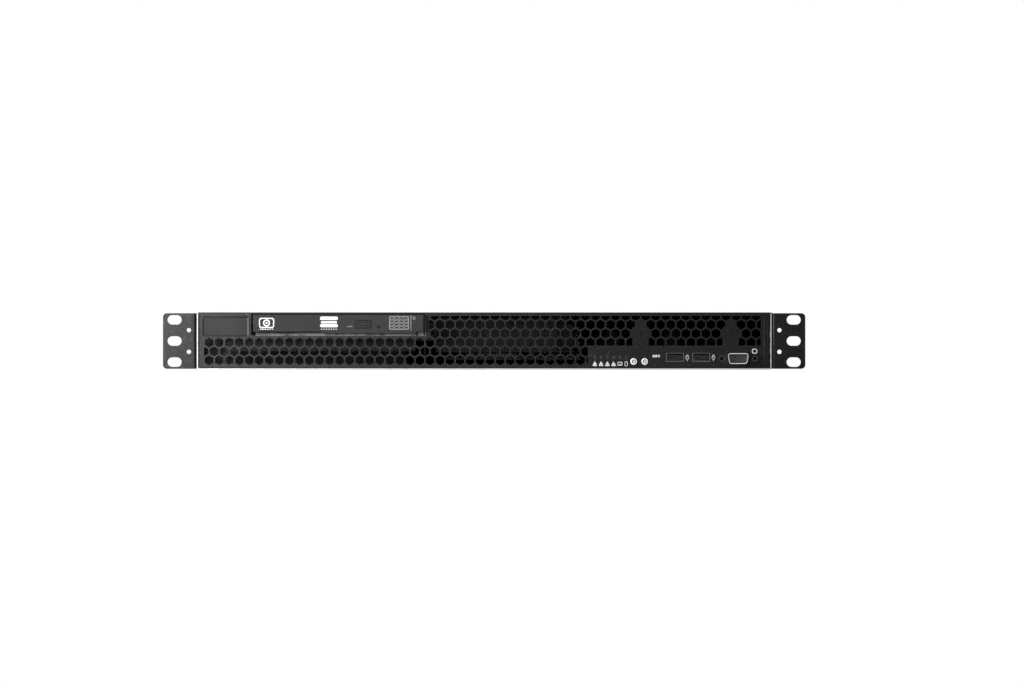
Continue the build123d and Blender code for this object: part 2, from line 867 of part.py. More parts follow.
# Spindle that carries the disc
with BuildPart() as disc_hub:
    with BuildSketch(level(turntable_low)):
        with Locations((drive_middle, hub_y)):
            Circle(turntable_size / 2)
    extrude(amount=turntable_height)
    with BuildSketch(level(turntable_low + turntable_height)):
        with Locations((drive_middle, hub_y)):
            Circle(hub_cone_size / 2)
    extrude(amount=hub_cone_height)
    with BuildSketch(level(turntable_low)):
        with Locations((drive_middle, hub_y)):
            Circle(hub_shaft / 2)
    extrude(amount=tray_low + part_gap - turntable_low)
disc_hub.part.label = "disc_hub"
export_step(disc_hub.part, "parts/disc_hub.step")

# Pickup sled on its two rods
with BuildPart() as pickup_sled:
    with BuildSketch(sled_plane.offset(sled_start - sled_length / 2)):
        Rectangle(sled_width, sled_height)
        with Locations((-rod_spread, 0), (rod_spread, 0)):
            Circle(rod_size / 2 + shaft_gap, mode=Mode.SUBTRACT)
    extrude(amount=sled_length)
    with BuildSketch(level(rod_z + sled_height / 2)):
        with Locations((drive_middle + sled_out.X * sled_start, hub_y + sled_out.Y * sled_start)):
            Circle(lens_size / 2)
    extrude(amount=lens_height)
pickup_sled.part.label = "pickup_sled"
export_step(pickup_sled.part, "parts/pickup_sled.step")

# Hard drives: the first on the floor under the optical drive, the second on a cradle
cradle_level = floor_top + cradle_lift
second_low = cradle_level + bracket_sheet
first_left = drive_left + hard_drive_inset
for name, left, low in (
    ("hard_drive_1", first_left, floor_top),
    ("hard_drive_2", second_left, second_low),
):
    right = left + hard_drive_width
    with BuildPart() as hard_drive:
        with BuildSketch(level(low)):
            span(left, right, hard_drive_front, hard_drive_back)
        extrude(amount=hard_drive_height - hard_drive_lid)
        with BuildSketch(level(low + hard_drive_height - hard_drive_lid)) as lid:
            span(
                left + hard_drive_lid_inset,
                right - hard_drive_lid_inset,
                hard_drive_front + hard_drive_lid_inset,
                hard_drive_back - hard_drive_lid_back,
            )
            fillet(lid.vertices(), hard_drive_corner)
        extrude(amount=hard_drive_lid)
        with BuildSketch(level(low + hard_drive_height)):
            with Locations(((left + right) / 2, hard_drive_front + hard_drive_width / 2)):
                Circle(hard_drive_boss / 2)
        extrude(amount=-part_gap * 2, mode=Mode.SUBTRACT)
        with BuildSketch(facing(hard_drive_back)):
            span(
                left + hard_drive_lid,
                left + hard_drive_width / 2,
                low + bracket_sheet,
                low + hard_drive_lid,
            )
        extrude(amount=hard_drive_lid, mode=Mode.SUBTRACT)
    hard_drive.part.label = name
    export_step(hard_drive.part, f"parts/{name}.step")

# Cradle that lifts the second hard drive off the floor
cradle_left = second_left - part_gap - bracket_sheet
cradle_right = second_right + part_gap + bracket_sheet
cradle_back = hard_drive_back - cradle_back_inset
with BuildPart() as hard_drive_cradle:
    with BuildSketch(facing(cradle_back)):
        span(cradle_left, cradle_right, cradle_level, second_low)
        for side, edge in ((1, cradle_left), (-1, cradle_right)):
            span(edge, edge + side * bracket_sheet, floor_top, second_low + cradle_side)
            span(edge, edge + side * cradle_foot, floor_top, floor_top + bracket_sheet)
    extrude(amount=cradle_back - hard_drive_front)
    with BuildSketch(level(cradle_level)):
        span(cradle_left, cradle_right, cradle_front, hard_drive_front)
    extrude(amount=bracket_sheet)
    with BuildSketch(facing(cradle_front + bracket_sheet)):
        span(
            cradle_left,
            cradle_right - cradle_flange_short,
            cradle_level,
            cradle_level + cradle_flange_rise,
        )
    extrude(amount=bracket_sheet)
hard_drive_cradle.part.label = "hard_drive_cradle"
export_step(hard_drive_cradle.part, "parts/hard_drive_cradle.step")

# Fan bracket: a foot on the floor and a wall with a round hole in front of each fan
fan_back = board_front - fan_back_room
fan_front = fan_back - fan_depth
fan_z = fan_base + fan_size / 2
fan_bore = fan_size - 2 * fan_wall
fans = [fan_left + fan_size / 2 + n * (fan_size + fan_space) for n in range(fan_count)]
bracket_wall = fan_front - part_gap
fan_bracket_left = fan_left - fan_bracket_margin
with BuildPart() as fan_bracket:
    with BuildSketch(level(floor_top)):
        span(fan_bracket_left, wall_inside - part_gap, bracket_wall - bracket_sheet, fan_back)
    extrude(amount=bracket_sheet)
    with BuildSketch(facing(bracket_wall)):
        span(fan_bracket_left, wall_inside - part_gap, floor_top, floor_top + fan_bracket_rise)
        with Locations(*[(x, fan_z) for x in fans]):
            Circle(fan_bore / 2, mode=Mode.SUBTRACT)
    extrude(amount=bracket_sheet)
fan_bracket.part.label = "fan_bracket"
export_step(fan_bracket.part, "parts/fan_bracket.step")

# Fan frames with their struts and axles
axle_front = fan_front + fan_strut
with BuildPart() as fan_frames:
    with BuildSketch(facing(fan_back)):
        with Locations(*[(x, fan_z) for x in fans]):
            Rectangle(fan_size, fan_size)
            Circle(fan_bore / 2, mode=Mode.SUBTRACT)
    extrude(amount=fan_depth)
    with BuildSketch(facing(fan_back)):
        with Locations(*[(x, fan_z) for x in fans]):
            Rectangle(fan_bore + fan_wall, fan_strut, rotation=45)
            Rectangle(fan_bore + fan_wall, fan_strut, rotation=-45)
            Circle(fan_hub / 2)
    extrude(amount=fan_strut_depth)
    with BuildSketch(facing(fan_back)):
        with Locations(*[(x, fan_z) for x in fans]):
            Circle(fan_axle / 2)
    extrude(amount=fan_back - axle_front)
fan_frames.part.label = "fan_frames"
export_step(fan_frames.part, "parts/fan_frames.step")

# Fan rotors: a hub on the axle and tilted blades
rotor_back = fan_back - fan_strut_depth - part_gap
rotor_front = axle_front - part_gap / 2 - fan_cap
blade_root = fan_hub / 2 - blade_bite
blade_tip = fan_bore / 2 - blade_tip_gap
for number, x in enumerate(fans, 1):
    with BuildPart() as fan_rotor:
        with BuildSketch(facing(rotor_back)):
            with Locations((x, fan_z)):
                Circle(fan_hub / 2)
        extrude(amount=rotor_back - rotor_front)
        with Locations(facing((rotor_front + rotor_back) / 2)):
            with Locations((x, fan_z)):
                with PolarLocations((blade_root + blade_tip) / 2, fan_blades):
                    Box(
                        blade_tip - blade_root,
                        fan_blade_chord,
                        fan_blade_sheet,
                        rotation=(fan_blade_pitch, 0, 0),
                    )
        with BuildSketch(facing(rotor_back)):
            with Locations((x, fan_z)):
                Circle(fan_axle / 2 + shaft_gap)
        extrude(amount=rotor_back - axle_front + part_gap / 2, mode=Mode.SUBTRACT)
    fan_rotor.part.label = f"fan_rotor_{number}"
    export_step(fan_rotor.part, f"parts/fan_rotor_{number}.step")

# Main board and its standoffs
standoff_x = [
    board_left + standoff_inset,
    (board_left + board_right) / 2,
    board_right - standoff_inset,
]
standoff_y = [
    board_front + standoff_inset,
    (board_front + board_back) / 2,
    board_back - standoff_inset,
]
with BuildPart() as main_board:
    with BuildSketch(level(board_low)):
        span(board_left, board_right, board_front, board_back)
    extrude(amount=board_sheet)
main_board.part.label = "main_board"
export_step(main_board.part, "parts/main_board.step")

with BuildPart() as board_standoffs:
    with BuildSketch(level(floor_top)):
        with Locations(*[(x, y) for x in standoff_x for y in standoff_y]):
            RegularPolygon(standoff_size / 2, 6, major_radius=False)
    extrude(amount=standoff_height)
board_standoffs.part.label = "board_standoffs"
export_step(board_standoffs.part, "parts/board_standoffs.step")

# Processor, its socket and the finned heatsink, in line with the middle fan
sink_x = fans[fan_count // 2]
sink_low_y = board_front + sink_front
sink_y = sink_low_y + sink_size / 2
socket_top = board_top + socket_height
sink_low = socket_top + processor_height
sink_top = cover_under - sink_top_gap
with BuildPart() as processor_socket:
    with BuildSketch(level(board_top)):
        with Locations((sink_x, sink_y)):
            Rectangle(socket_size, socket_size)
    extrude(amount=socket_height)
processor_socket.part.label = "processor_socket"
export_step(processor_socket.part, "parts/processor_socket.step")

with BuildPart() as processor:
    with BuildSketch(level(socket_top)):
        with Locations((sink_x, sink_y)):
            Rectangle(processor_size, processor_size)
    extrude(amount=processor_height)
processor.part.label = "processor"
export_step(processor.part, "parts/processor.step")

fin_pitch = (sink_size - sink_fin_sheet) / (sink_fins - 1)
with BuildPart() as processor_heatsink:
    with BuildSketch(facing(sink_low_y + sink_size)):
        span(sink_x - sink_size / 2, sink_x + sink_size / 2, sink_low, sink_low + sink_base)
        with Locations((sink_x, (sink_low + sink_top) / 2)):
            with GridLocations(fin_pitch, 0, sink_fins, 1):
                Rectangle(sink_fin_sheet, sink_top - sink_low)
    extrude(amount=sink_size)
processor_heatsink.part.label = "processor_heatsink"
export_step(processor_heatsink.part, "parts/processor_heatsink.step")

# Air duct: roof and two walls that lead the fans' air into the heatsink
duct_left = sink_x - sink_size / 2 - part_gap - bracket_sheet
duct_right = sink_x + sink_size / 2 + part_gap + bracket_sheet
duct_top = sink_top + part_gap + bracket_sheet
duct_front = fan_back + part_gap
with BuildPart() as air_duct:
    with BuildSketch(level(sink_top + part_gap)):
        with BuildLine():
            Polyline(
                (fan_left, duct_front),
                (fan_right, duct_front),
                (duct_right, sink_low_y),
                (duct_right, sink_low_y + sink_size),
                (duct_left, sink_low_y + sink_size),
                (duct_left, sink_low_y),
                close=True,
            )
        make_face()
    extrude(amount=bracket_sheet)
    with BuildSketch(level(board_top)):
        span(duct_left, duct_left + bracket_sheet, sink_low_y, sink_low_y + sink_size)
        span(duct_right - bracket_sheet, duct_right, sink_low_y, sink_low_y + sink_size)
    extrude(amount=duct_top - board_top)
air_duct.part.label = "air_duct"
export_step(air_duct.part, "parts/air_duct.step")

# Memory: sockets, modules with their chips, and one latch at the front end of each socket
memory_x = [
    sink_x - sink_size / 2 - memory_gap - n * memory_pitch for n in range(memory_count)
]
memory_y = board_front + board_front_margin
module_low = board_top + module_lift
module_front = memory_y + latch_length + part_gap
with BuildPart() as memory_sockets:
    for x in memory_x:
        with BuildSketch(level(board_top)):
            span(
                x - memory_socket_width / 2,
                x + memory_socket_width / 2,
                memory_y,
                memory_y + memory_socket_length,
            )
        extrude(amount=memory_socket_height)
        with BuildSketch(level(module_low)):
            span(x - module_sheet / 2, x + module_sheet / 2, module_front, module_front + module_length)
        extrude(amount=memory_socket_height, mode=Mode.SUBTRACT)
        with BuildSketch(level(board_top + module_lift)):
            span(
                x - latch_width / 2 - button_gap,
                x + latch_width / 2 + button_gap,
                memory_y - latch_length,
                module_front,
            )
        extrude(amount=memory_socket_height, mode=Mode.SUBTRACT)
memory_sockets.part.label = "memory_sockets"
export_step(memory_sockets.part, "parts/memory_sockets.step")

with BuildPart() as memory_modules:
    for x in memory_x:
        with BuildSketch(level(module_low)):
            span(x - module_sheet / 2, x + module_sheet / 2, module_front, module_front + module_length)
        extrude(amount=module_height)
        chip_pitch = module_length / chip_count
        with BuildSketch(across(x + module_sheet / 2)):
            with Locations((module_front + module_length / 2, module_low + chip_middle)):
                with GridLocations(chip_pitch, 0, chip_count, 1):
                    Rectangle(chip_width, chip_rise)
        extrude(amount=chip_sheet)
memory_modules.part.label = "memory_modules"
export_step(memory_modules.part, "parts/memory_modules.step")

latch_low = board_top + module_lift + part_gap
latch_back = module_front - part_gap
for number, x in enumerate(memory_x, 1):
    with BuildPart() as memory_latch:
        with BuildSketch(across(x - latch_width / 2)):
            with BuildLine():
                Polyline(
                    (latch_back - latch_toe, latch_low),
                    (latch_back, latch_low + latch_heel),
                    (latch_back, latch_low + latch_rise),
                    (memory_y, latch_low + latch_rise),
                    (memory_y + latch_neck_in, latch_low + latch_neck_rise),
                    (latch_back - latch_foot, latch_low),
                    close=True,
                )
            make_face()
        extrude(amount=latch_width)
    memory_latch.part.label = f"memory_latch_{number}"
    export_step(memory_latch.part, f"parts/memory_latch_{number}.step")

# Chipset heatsink, capacitors and the plastic headers of the board
chipset_x = board_left + chipset_inset + chipset_size / 2
chipset_y = board_front + chipset_front + chipset_size / 2
chipset_pitch = (chipset_size - bracket_sheet) / (chipset_fins - 1)
with BuildPart() as chipset_heatsink:
    with BuildSketch(facing(chipset_y + chipset_size / 2)):
        with Locations((chipset_x, board_top + sink_base / 2)):
            Rectangle(chipset_size, sink_base)
        with Locations((chipset_x, board_top + chipset_height / 2)):
            with GridLocations(chipset_pitch, 0, chipset_fins, 1):
                Rectangle(bracket_sheet, chipset_height)
    extrude(amount=chipset_size)
chipset_heatsink.part.label = "chipset_heatsink"
export_step(chipset_heatsink.part, "parts/chipset_heatsink.step")

capacitor_y = sink_low_y + sink_size + capacitor_size
with BuildPart() as board_capacitors:
    with BuildSketch(level(board_top)):
        with Locations((sink_x, capacitor_y)):
            with GridLocations(capacitor_pitch, 0, capacitor_count, 1):
                Circle(capacitor_size / 2)
    extrude(amount=capacitor_height)
board_capacitors.part.label = "board_capacitors"
export_step(board_capacitors.part, "parts/board_capacitors.step")

riser_back = board_back - port_depth
riser_front = riser_back - riser_length + sink_base
riser_end = riser_back - sink_base
header_x = board_right - standoff_inset
with BuildPart() as board_headers:
    with BuildSketch(level(board_top)):
        span(
            riser_x - riser_connector / 2,
            riser_x + riser_connector / 2,
            riser_back - riser_length,
            riser_back,
        )
        with Locations((header_x, sink_y)):
            Rectangle(capacitor_size, socket_size)
    extrude(amount=riser_connector_height)
    with BuildSketch(level(board_top)):
        with Locations((chipset_x, riser_back - chipset_size)):
            with GridLocations(capacitor_size, header_pitch, 2, 2):
                Rectangle(memory_socket_width, header_length)
    extrude(amount=memory_socket_height)
    with BuildSketch(level(board_top + module_lift)):
        span(
            riser_x - board_sheet / 2 - shaft_gap,
            riser_x + board_sheet / 2 + shaft_gap,
            riser_front,
            riser_end,
        )
    extrude(amount=riser_connector_height, mode=Mode.SUBTRACT)
board_headers.part.label = "board_headers"
export_step(board_headers.part, "parts/board_headers.step")

# Riser card with the socket for a flat-lying expansion card
riser_low = board_top + module_lift
with BuildPart() as riser_card:
    with BuildSketch(across(riser_x - board_sheet / 2)):
        span(riser_front, riser_end, riser_low, riser_low + riser_rise)
    extrude(amount=board_sheet)
    with BuildSketch(across(riser_x - board_sheet / 2)):
        span(
            riser_front + sink_base,
            riser_end - sink_base,
            riser_low + riser_socket_rise,
            riser_low + riser_socket_rise + riser_connector,
        )
    extrude(amount=-riser_connector_height)
riser_card.part.label = "riser_card"
export_step(riser_card.part, "parts/riser_card.step")

# Sockets on the rear edge of the board
port_front = board_back - port_depth
port_face = rear_y + port_proud
lan_places = [board_right - lan_first, board_right - lan_second]
rear_usb_x = board_right - rear_usb_place
rear_d_places = [board_right - vga_rear_place, board_right - serial_place]
rear_d_z = board_top + d_flange_height / 2
with BuildPart() as lan_sockets:
    with BuildSketch(backing(port_front)):
        with Locations(*[(-x, board_top + lan_height / 2) for x in lan_places]):
            Rectangle(lan_width, lan_height)
    extrude(amount=port_face - port_front)
    with BuildSketch(backing(port_face - lan_mouth_depth)):
        with Locations(*[(-x, board_top + lan_height / 2) for x in lan_places]):
            Rectangle(lan_mouth_width, lan_mouth_height)
    extrude(amount=lan_mouth_depth, mode=Mode.SUBTRACT)
lan_sockets.part.label = "lan_sockets"
export_step(lan_sockets.part, "parts/lan_sockets.step")

with BuildPart() as rear_usb_socket:
    with BuildSketch(backing(port_front)):
        with Locations((-rear_usb_x, board_top + rear_usb_height / 2)):
            Rectangle(usb_width, rear_usb_height)
    extrude(amount=port_face - port_front)
    with BuildSketch(backing(port_face - usb_depth)):
        with Locations((-rear_usb_x, board_top + rear_usb_height / 2)):
            with GridLocations(0, rear_usb_height / 2, 1, 2):
                Rectangle(usb_width - 2 * usb_wall, usb_height - 2 * usb_wall)
                with Locations((0, (usb_height - usb_tongue) / 2 - 2 * usb_wall)):
                    Rectangle(usb_width - 4 * usb_wall, usb_tongue, mode=Mode.SUBTRACT)
    extrude(amount=usb_depth, mode=Mode.SUBTRACT)
rear_usb_socket.part.label = "rear_usb_socket"
export_step(rear_usb_socket.part, "parts/rear_usb_socket.step")

with BuildPart() as rear_d_sockets:
    with BuildSketch(backing(port_front)):
        with Locations(*[(-x, rear_d_z) for x in rear_d_places]):
            Rectangle(d_flange_width, d_flange_height)
    extrude(amount=rear_inside - part_gap - port_front)
    with BuildSketch(backing(rear_inside - part_gap)):
        with Locations(*[(-x, rear_d_z) for x in rear_d_places]):
            add(d_outer)
            add(d_inner, mode=Mode.SUBTRACT)
    extrude(amount=vga_reach)
rear_d_sockets.part.label = "rear_d_sockets"
export_step(rear_d_sockets.part, "parts/rear_d_sockets.step")

# Thin shield round the rear sockets
with BuildPart() as io_shield:
    with BuildSketch(backing(rear_inside)):
        span(
            -ports_right + part_gap,
            -ports_left - part_gap,
            ports_low + part_gap,
            ports_high - part_gap,
        )
        with Locations(*[(-x, board_top + lan_height / 2) for x in lan_places]):
            Rectangle(lan_width + port_gap, lan_height + port_gap, mode=Mode.SUBTRACT)
        with Locations((-rear_usb_x, board_top + rear_usb_height / 2)):
            Rectangle(usb_width + port_gap, rear_usb_height + port_gap, mode=Mode.SUBTRACT)
        with Locations(*[(-x, rear_d_z) for x in rear_d_places]):
            add(d_opening, mode=Mode.SUBTRACT)
    extrude(amount=shield_sheet)
io_shield.part.label = "io_shield"
export_step(io_shield.part, "parts/io_shield.step")

# Blank that closes the expansion slot from inside
with BuildPart() as slot_cover:
    with BuildSketch(facing(rear_inside)):
        span(
            slot_left - slot_cover_overlap,
            slot_right + slot_cover_overlap,
            slot_low - slot_cover_overlap,
            slot_high + part_gap,
        )
    extrude(amount=rear_sheet)
slot_cover.part.label = "slot_cover"
export_step(slot_cover.part, "parts/slot_cover.step")

# Power supply: a closed case with a well for its fan and a seat for its inlet
supply_front = rear_inside - supply_length
fan_well_front = rear_inside - supply_fan_depth - part_gap
with BuildPart() as supply_case:
    with BuildSketch(level(supply_low)):
        span(supply_left, supply_right, supply_front, rear_inside)
    extrude(amount=supply_height)
    with BuildSketch(facing(rear_inside)):
        with Locations((supply_fan_x, supply_fan_z)):
            Rectangle(supply_fan + part_gap, supply_fan + part_gap)
    extrude(amount=supply_fan_depth + part_gap, mode=Mode.SUBTRACT)
    with BuildSketch(facing(rear_inside)):
        with Locations((inlet_x, supply_fan_z)):
            Rectangle(inlet_width + part_gap, inlet_height + part_gap)
    extrude(amount=inlet_depth, mode=Mode.SUBTRACT)
    with BuildSketch(facing(supply_front + supply_slot_depth)):
        with Locations(((supply_left + supply_right) / 2, supply_fan_z)):
            with GridLocations(supply_slot_pitch, 0, supply_slot_count, 1):
                Rectangle(supply_slot_width, supply_slot_length)
    extrude(amount=supply_slot_depth, mode=Mode.SUBTRACT)
supply_case.part.label = "supply_case"
export_step(supply_case.part, "parts/supply_case.step")

supply_fan_bore = supply_fan - 2 * fan_wall
supply_axle_front = fan_well_front + part_gap + fan_strut
with BuildPart() as supply_fan_frame:
    with BuildSketch(facing(rear_inside)):
        with Locations((supply_fan_x, supply_fan_z)):
            Rectangle(supply_fan, supply_fan)
            Circle(supply_fan_bore / 2, mode=Mode.SUBTRACT)
    extrude(amount=supply_fan_depth)
    with BuildSketch(facing(rear_inside)):
        with Locations((supply_fan_x, supply_fan_z)):
            Rectangle(supply_fan_bore + fan_wall, fan_strut, rotation=45)
            Rectangle(supply_fan_bore + fan_wall, fan_strut, rotation=-45)
            Circle(fan_hub / 2)
    extrude(amount=fan_strut_depth)
    with BuildSketch(facing(rear_inside)):
        with Locations((supply_fan_x, supply_fan_z)):
            Circle(fan_axle / 2)
    extrude(amount=rear_inside - supply_axle_front)
supply_fan_frame.part.label = "supply_fan_frame"
export_step(supply_fan_frame.part, "parts/supply_fan_frame.step")

supply_rotor_back = rear_inside - fan_strut_depth - part_gap
supply_rotor_front = supply_axle_front - part_gap / 2 - fan_cap
supply_tip = supply_fan_bore / 2 - supply_tip_gap
with BuildPart() as supply_fan_rotor:
    with BuildSketch(facing(supply_rotor_back)):
        with Locations((supply_fan_x, supply_fan_z)):
            Circle(fan_hub / 2)
    extrude(amount=supply_rotor_back - supply_rotor_front)
    with Locations(facing((supply_rotor_front + supply_rotor_back) / 2)):
        with Locations((supply_fan_x, supply_fan_z)):
            with PolarLocations((blade_root + supply_tip) / 2, fan_blades):
                Box(
                    supply_tip - blade_root,
                    supply_blade_chord,
                    fan_blade_sheet,
                    rotation=(fan_blade_pitch, 0, 0),
                )
    with BuildSketch(facing(supply_rotor_back)):
        with Locations((supply_fan_x, supply_fan_z)):
            Circle(fan_axle / 2 + shaft_gap)
    extrude(amount=supply_rotor_back - supply_axle_front + part_gap / 2, mode=Mode.SUBTRACT)
supply_fan_rotor.part.label = "supply_fan_rotor"
export_step(supply_fan_rotor.part, "parts/supply_fan_rotor.step")

# Mains inlet with its three blades
inlet_back = rear_inside - inlet_depth
inlet_face = rear_y + port_proud
inlet_pins = [
    (-inlet_pin_spread, -inlet_pin_height / 2),
    (inlet_pin_spread, -inlet_pin_height / 2),
    (0, inlet_pin_height / 2),
]
with BuildPart() as power_inlet:
    with BuildSketch(backing(inlet_back)):
        with Locations((-inlet_x, supply_fan_z)):
            Rectangle(inlet_width, inlet_height)
    extrude(amount=inlet_face - inlet_back)
    with BuildSketch(backing(inlet_face - inlet_cavity_depth)) as cavity:
        with Locations((-inlet_x, supply_fan_z)):
            Rectangle(inlet_width - 2 * inlet_wall, inlet_height - 2 * inlet_wall)
        chamfer(cavity.vertices().group_by(Axis.Y)[-1], inlet_wall * 2)
    extrude(amount=inlet_cavity_depth, mode=Mode.SUBTRACT)
    with BuildSketch(backing(inlet_face - inlet_cavity_depth)):
        with Locations((-inlet_x, supply_fan_z)):
            with Locations(*inlet_pins):
                Rectangle(inlet_pin_width, inlet_pin_height)
    extrude(amount=inlet_pin_length)
power_inlet.part.label = "power_inlet"
export_step(power_inlet.part, "parts/power_inlet.step")

# Board behind the front sockets, with the push buttons' switches
io_front = panel_back + io_board_depth
button_end = face_y - button_proud + button_length
switch_depth = io_front - button_end - button_travel - part_gap
with BuildPart() as front_io_board:
    with BuildSketch(facing(io_front + board_sheet)):
        span(
            wall_inside - io_board_left,
            wall_inside - io_board_right,
            bottom_z + io_board_bottom,
            bottom_z + io_board_top,
        )
        for x, z in blanks:
            span(
                x - io_tab_width / 2,
                x + io_tab_width / 2,
                bottom_z + io_board_top,
                bottom_z + io_tab_top,
            )
    extrude(amount=board_sheet)
    with BuildSketch(facing(io_front)):
        with Locations(*[(x, button_z) for x in buttons]):
            Rectangle(button_size, button_size)
    extrude(amount=switch_depth)
front_io_board.part.label = "front_io_board"
export_step(front_io_board.part, "parts/front_io_board.step")

# Spacers between the panel and that board
with BuildPart() as io_spacers:
    with BuildSketch(facing(io_front)):
        with Locations(*blanks):
            RegularPolygon(io_spacer_size / 2, 6, major_radius=False)
    extrude(amount=io_board_depth)
io_spacers.part.label = "io_spacers"
export_step(io_spacers.part, "parts/io_spacers.step")

# Front sockets: two for plugs and one for a display
usb_face = face_y - part_gap
with BuildPart() as front_usb_sockets:
    with BuildSketch(facing(io_front)):
        with Locations(*[(x, usb_z) for x in usb_places]):
            Rectangle(usb_width, usb_height)
    extrude(amount=io_front - usb_face)
    with BuildSketch(facing(usb_face + usb_depth - usb_wall)):
        with Locations(*[(x, usb_z) for x in usb_places]):
            Rectangle(usb_width - 2 * usb_wall, usb_height - 2 * usb_wall)
        with Locations(*[(x, usb_z + usb_height / 2 - usb_wall - usb_tongue) for x in usb_places]):
            Rectangle(usb_width - 4 * usb_wall, usb_tongue, mode=Mode.SUBTRACT)
    extrude(amount=usb_depth - usb_wall, mode=Mode.SUBTRACT)
front_usb_sockets.part.label = "front_usb_sockets"
export_step(front_usb_sockets.part, "parts/front_usb_sockets.step")

vga_back_gap = panel_back + part_gap
with BuildPart() as front_vga_socket:
    with BuildSketch(facing(io_front)):
        with Locations((vga_x, vga_z)):
            Rectangle(jack_spacing - jack_nut_size - 2 * part_gap, d_flange_height)
    extrude(amount=io_front - vga_back_gap)
    with BuildSketch(facing(vga_back_gap)):
        with Locations((vga_x, vga_z)):
            add(d_outer)
            add(d_inner, mode=Mode.SUBTRACT)
    extrude(amount=vga_reach)
    with BuildSketch(facing(vga_back_gap)):
        with Locations((vga_x, vga_z)):
            add(d_inner)
    extrude(amount=vga_reach / 2)
    with BuildSketch(facing(vga_back_gap - vga_reach / 2)):
        for row, shift in ((-1, 0.0), (0, 0.5), (1, 0.0)):
            with Locations((vga_x + shift * vga_pin_pitch / 2, vga_z + row * vga_row_pitch)):
                with GridLocations(vga_pin_pitch, 0, vga_pin_count, 1):
                    Rectangle(vga_pin, vga_pin)
    extrude(amount=-vga_reach / 2, mode=Mode.SUBTRACT)
front_vga_socket.part.label = "front_vga_socket"
export_step(front_vga_socket.part, "parts/front_vga_socket.step")

# Jack nuts beside the display sockets
with BuildPart() as jack_nuts:
    with BuildSketch(facing(io_front)):
        with Locations(*[(x, vga_z) for x in jacks]):
            Circle(jack_nut_size / 2)
            Circle(jack_bore / 2, mode=Mode.SUBTRACT)
    extrude(amount=io_front - face_y)
jack_nuts.part.label = "jack_nuts"
export_step(jack_nuts.part, "parts/jack_nuts.step")

# Light pipes from the board to the panel's six windows
with BuildPart() as status_lights:
    with BuildSketch(facing(io_front)):
        with Locations(*[(x, light_z) for x in lights]):
            Rectangle(light_width, light_rise)
    extrude(amount=io_front - face_y - slide_gap)
status_lights.part.label = "status_lights"
export_step(status_lights.part, "parts/status_lights.step")

# Push buttons: a cap through the panel, a collar behind it and a stem to the switch
for name, x in (("power_button", buttons[0]), ("locate_button", buttons[1])):
    with BuildPart() as push_button:
        with BuildSketch(facing(button_end)):
            with Locations((x, button_z)):
                Circle(button_size / 2)
        extrude(amount=button_length)
        chamfer(push_button.edges().group_by(Axis.Y)[0], button_proud / 2)
        with BuildSketch(facing(panel_back + panel_sheet + slide_gap / 2)):
            with Locations((x, button_z)):
                Circle(button_flange / 2)
        extrude(amount=panel_sheet)
    push_button.part.label = name
    export_step(push_button.part, f"parts/{name}.step")
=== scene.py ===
import bmesh
import bpy
import numpy as np
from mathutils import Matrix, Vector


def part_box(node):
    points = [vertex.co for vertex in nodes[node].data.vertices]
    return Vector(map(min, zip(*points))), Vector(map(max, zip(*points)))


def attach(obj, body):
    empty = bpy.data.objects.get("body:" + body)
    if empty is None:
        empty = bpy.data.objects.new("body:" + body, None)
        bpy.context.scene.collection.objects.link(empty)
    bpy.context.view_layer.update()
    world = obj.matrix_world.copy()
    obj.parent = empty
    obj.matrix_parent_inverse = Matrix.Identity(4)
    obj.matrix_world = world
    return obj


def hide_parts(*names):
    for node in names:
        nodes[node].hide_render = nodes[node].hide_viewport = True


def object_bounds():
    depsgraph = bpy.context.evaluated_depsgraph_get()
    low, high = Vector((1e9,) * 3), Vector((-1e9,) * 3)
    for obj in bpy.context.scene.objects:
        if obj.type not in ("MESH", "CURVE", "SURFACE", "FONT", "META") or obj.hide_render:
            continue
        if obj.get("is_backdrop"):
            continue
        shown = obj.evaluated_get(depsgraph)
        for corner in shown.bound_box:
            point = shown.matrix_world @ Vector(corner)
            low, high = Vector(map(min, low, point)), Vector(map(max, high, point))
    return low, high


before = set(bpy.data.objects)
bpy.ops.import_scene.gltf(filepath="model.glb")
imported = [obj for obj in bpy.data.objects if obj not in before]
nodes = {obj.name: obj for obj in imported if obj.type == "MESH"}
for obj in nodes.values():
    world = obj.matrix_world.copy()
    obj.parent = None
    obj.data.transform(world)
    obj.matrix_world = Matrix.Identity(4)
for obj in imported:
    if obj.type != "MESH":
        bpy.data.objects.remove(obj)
cad_low, cad_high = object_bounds()

MM = 0.001
TURN = 2 * np.pi
DIAGONAL = np.sqrt(0.5)
WHITE = (1, 1, 1, 1)

# Places on the server in millimetres, as its drawing has them
FACE = -2.0
BEZEL_FACE = -4.5
REAR_FACE = 379.0
BOARD_TOP = -12.4
FAN_X = (95.0, 140.0, 185.0)
FAN_Z = 0.5
LAMP_X = [83.1 + 4.72 * n for n in range(6)]
PLUG_X = (143.4, 163.1)
DISPLAY_X = 190.9
JACK_ASIDE = 12.495
NETWORK_X = (166.0, 147.0)
PHASE_Y = [212.0 + 12.0 * n for n in range(6)]
SPINDLE = np.array([-109.5, 61.2])

# A printed mark's thickness, and the depth to which its foot sinks under the surface
SKIN = 0.06
FOOT = -0.05

# The axes of a piece on each side of the server, the third one pointing out of the side
SIDES = {
    "front": [[1, 0, 0], [0, 0, 1], [0, -1, 0]],
    "back": [[-1, 0, 0], [0, 0, 1], [0, 1, 0]],
    "up": [[1, 0, 0], [0, 1, 0], [0, 0, 1]],
    "left": [[0, -1, 0], [0, 0, 1], [-1, 0, 0]],
    "right": [[0, 1, 0], [0, 0, 1], [1, 0, 0]],
}


# Surfaces


def corners(node):
    """The lowest and the highest corner of a CAD node's box, in millimetres."""
    return np.array(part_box(node)) / MM


